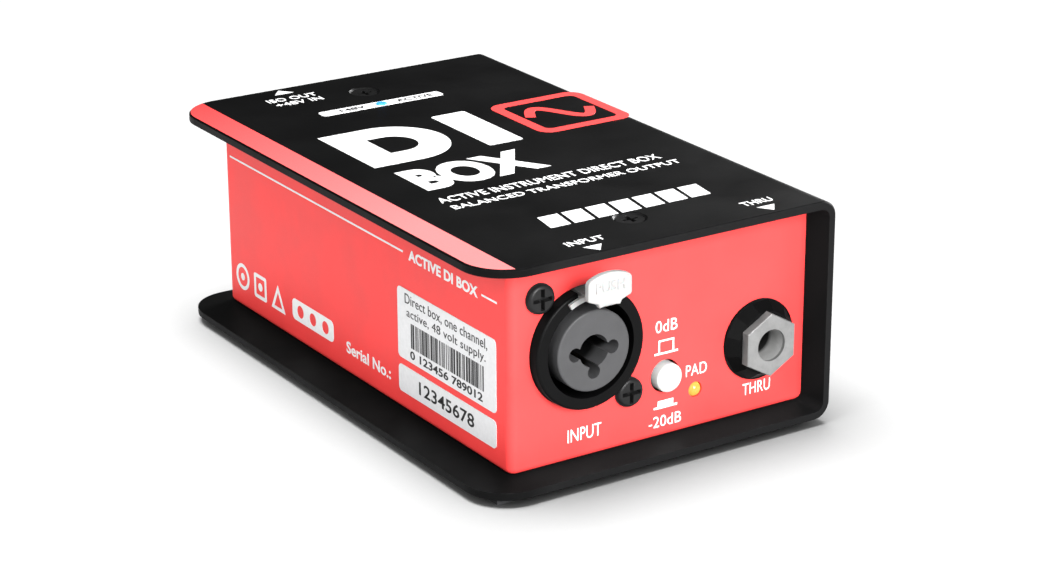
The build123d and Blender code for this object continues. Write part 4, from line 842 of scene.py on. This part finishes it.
for name, words, box, z, width, height, weight in (
    ("label_line_1", "Direct box, one channel,", barcode_box, 5.3, 29.4, 2.3, 0.0),
    ("label_line_2", "active, 48 volt supply.", barcode_box, 2.5, 28.2, 2.3, 0.0),
    ("label_number", "0 123456 789012", barcode_box, -5.6, 26.0, 1.7, 0.02),
    ("serial_number", "12345678", serial_box, 0, 19.8, 2.7, 0.012),
):
    letters(name, words, LEFT, on_label(box, z), width, height, BLACK_INK, weight)
SEED = 7
BARS_START, BARS_STOP = -12.6, 13.4
BARS_LOW, BARS_HIGH = -2.6, 2.4
BAR_WIDTHS = (0.22, 0.22, 0.4, 0.6)
BAR_GAPS = (0.2, 0.25, 0.45)
rng = random.Random(SEED)
loops = []
x = BARS_START
while x < BARS_STOP:
    bar = rng.choice(BAR_WIDTHS)
    loops.append(rectangle(x, BARS_LOW, x + bar, BARS_HIGH))
    x += bar + rng.choice(BAR_GAPS)
outline("label_bars", loops, LEFT, on_label(barcode_box, -1.6), BLACK_INK)

# raised word on the push tab, which moves with the latch
latch_lo, latch_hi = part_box("combo_latch")
combo_lo, combo_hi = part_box("combo_insert")
tab_face = Vector(((combo_lo.x + combo_hi.x) / 2, latch_lo.y, latch_hi.z - 2.6 * MM))
TAB_WORD_DEPTH = 0.18 * MM
letters(
    "tab_word",
    "PUSH",
    FRONT,
    tab_face,
    6.2,
    1.9,
    looks["tab_white"],
    0.0,
    TAB_WORD_DEPTH,
    body="latch",
)

# ------------------------------------------------------------------ wound return springs
WIRE_R = 0.18 * MM
END_GAP = 1.6 * WIRE_R  # from the CAD spring's ends to the middle of the wire
TURNS = 6
STEPS = 24  # along one turn
SIDES = 8  # around the wire


def coil(name, node):
    """A wound spring standing for a CAD spring, which it hides."""
    lo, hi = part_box(node)
    middle = (lo + hi) / 2
    radius = (hi.x - lo.x) / 2 - WIRE_R
    start, stop = lo.y + END_GAP, hi.y - END_GAP
    climb = (stop - start) / (math.tau * TURNS * radius)
    bm = bmesh.new()
    rings = []
    for i in range(TURNS * STEPS + 1):
        a = math.tau * i / STEPS
        y = start + (stop - start) * i / (TURNS * STEPS)
        out = Vector((math.cos(a), 0, math.sin(a)))
        at = Vector((middle.x, y, middle.z)) + out * radius
        side = out.cross(Vector((-math.sin(a), climb, math.cos(a))).normalized())
        ring = [
            bm.verts.new(at + WIRE_R * (out * math.cos(b) + side * math.sin(b)))
            for b in (math.tau * k / SIDES for k in range(SIDES))
        ]
        rings.append(ring)
    for a, b in zip(rings, rings[1:]):
        for k in range(SIDES):
            bm.faces.new((a[k], a[(k + 1) % SIDES], b[(k + 1) % SIDES], b[k]))
    bm.faces.new(rings[0][::-1])
    bm.faces.new(rings[-1])
    bmesh.ops.recalc_face_normals(bm, faces=bm.faces)
    mesh = bpy.data.meshes.new(name)
    bm.to_mesh(mesh)
    bm.free()
    for polygon in mesh.polygons:
        polygon.use_smooth = True
    piece = bpy.data.objects.new(name, mesh)
    scene.collection.objects.link(piece)
    mesh.materials.append(looks["zinc_steel"].mat)
    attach(piece, "enclosure")
    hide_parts(node)
    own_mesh(piece)


coil("pad_spring_coil", "pad_switch_spring")
coil(
    "ground_lift_spring_coil",
    "ground_lift_spring",
)

# ------------------------------------------------------------------ stage
FLOOR_HALF = 6.0  # metres
floor_mesh = bpy.data.meshes.new("floor")
bm = bmesh.new()
bmesh.ops.create_grid(bm, x_segments=8, y_segments=8, size=FLOOR_HALF)
bm.to_mesh(floor_mesh)
bm.free()
floor = bpy.data.objects.new("floor", floor_mesh)
scene.collection.objects.link(floor)
floor_look = Look("floor_paper")
fibre = floor_look.noise(1.2, 5.0, 0.7)
floor_look.set(
    Base_Color=floor_look.mix(fibre, (0.41, 0.41, 0.41), (0.43, 0.43, 0.43)),
    Roughness=0.9,
    Specular_IOR_Level=0.1,
)
floor_look.bump(fibre, 0.05, 0.05)
floor_mesh.materials.append(floor_look.mat)

# The room is evenly white, but dim in reflections except from overhead.
world = bpy.data.worlds.new("room")
scene.world = world
world.use_nodes = True
nodes, links = world.node_tree.nodes, world.node_tree.links
background = nodes["Background"]
background.inputs["Color"].default_value = (1, 1, 1, 1)
ROOM = 0.60
ROOM_IN_REFLECTIONS = (0.02, 0.40)  # low in the room, and overhead
LOW = 0.45  # upward part of the direction where the reflected room starts to brighten
direction = nodes.new("ShaderNodeTexCoord")
height = nodes.new("ShaderNodeSeparateXYZ")
links.new(direction.outputs["Generated"], height.inputs["Vector"])
reflected = nodes.new("ShaderNodeMapRange")
reflected.inputs["From Min"].default_value = LOW
reflected.inputs["From Max"].default_value = 1.0
reflected.inputs["To Min"].default_value = ROOM_IN_REFLECTIONS[0]
reflected.inputs["To Max"].default_value = ROOM_IN_REFLECTIONS[1]
links.new(height.outputs["Z"], reflected.inputs["Value"])
path = nodes.new("ShaderNodeLightPath")
strength = nodes.new("ShaderNodeMix")
strength.inputs["A"].default_value = ROOM
links.new(path.outputs["Is Glossy Ray"], strength.inputs["Factor"])
links.new(reflected.outputs["Result"], strength.inputs["B"])
links.new(strength.outputs["Result"], background.inputs["Strength"])

middle = (shell_lo + shell_hi) / 2
on_floor = bpy.data.collections.new("lit_floor")
on_floor.objects.link(floor)
not_floor = bpy.data.collections.new("flagged_floor")
not_floor.objects.link(floor)
not_floor.collection_objects[0].light_linking.link_state = "EXCLUDE"


def softbox(name, place, size, power, receivers):
    """A rectangular light aimed at the middle of the object, placed in mm from that middle."""
    data = bpy.data.lights.new(name, "AREA")
    data.shape = "RECTANGLE"
    data.size, data.size_y = size[0] * MM, size[1] * MM
    data.energy = power
    lamp = bpy.data.objects.new(name, data)
    scene.collection.objects.link(lamp)
    lamp.light_linking.receiver_collection = receivers
    lamp.location = middle + Vector(place) * MM
    aim = middle - lamp.location
    lamp.rotation_euler = aim.to_track_quat("-Z", "Y").to_euler()


for name, place, size, power, receivers in (
    ("key", (-40, -760, 300), (420, 360), 12.5, not_floor),
    ("fill", (-640, -330, 380), (500, 500), 2.2, not_floor),
    ("overhead", (60, 120, 800), (700, 700), 3.0, not_floor),
    ("sheen", (560, 160, 190), (260, 200), 7.5, not_floor),
    ("floor_wash", (-120, 50, 1300), (900, 900), 43.0, on_floor),
):
    softbox(name, place, size, power, receivers)

# ------------------------------------------------------------------ camera
AZIMUTH = -33.48  # degrees, 0 looks along +Y
ELEVATION = 20.30
DISTANCE = 562.9  # mm
TARGET = (7.89, -11.3, 20.3)  # mm
LENS = 96.35  # mm, for the width of the sensor
SENSOR_WIDTH = 36.0
SHIFT = (-0.0254, -0.0046)  # of the picture's centre, in picture widths
camera_data = bpy.data.cameras.new("camera")
camera_data.lens = LENS
camera_data.sensor_width = SENSOR_WIDTH
camera_data.shift_x, camera_data.shift_y = SHIFT
camera_data.clip_start = 0.01
camera = bpy.data.objects.new("camera", camera_data)
scene.collection.objects.link(camera)
az, el = math.radians(AZIMUTH), math.radians(ELEVATION)
target = Vector(TARGET) * MM
back = Vector((math.sin(az) * math.cos(el), -math.cos(az) * math.cos(el), math.sin(el)))
camera.location = target + back * DISTANCE * MM
camera.rotation_euler = (target - camera.location).to_track_quat("-Z", "Y").to_euler()
scene.camera = camera
scene.view_settings.view_transform = "Standard"
scene.view_settings.look = "None"
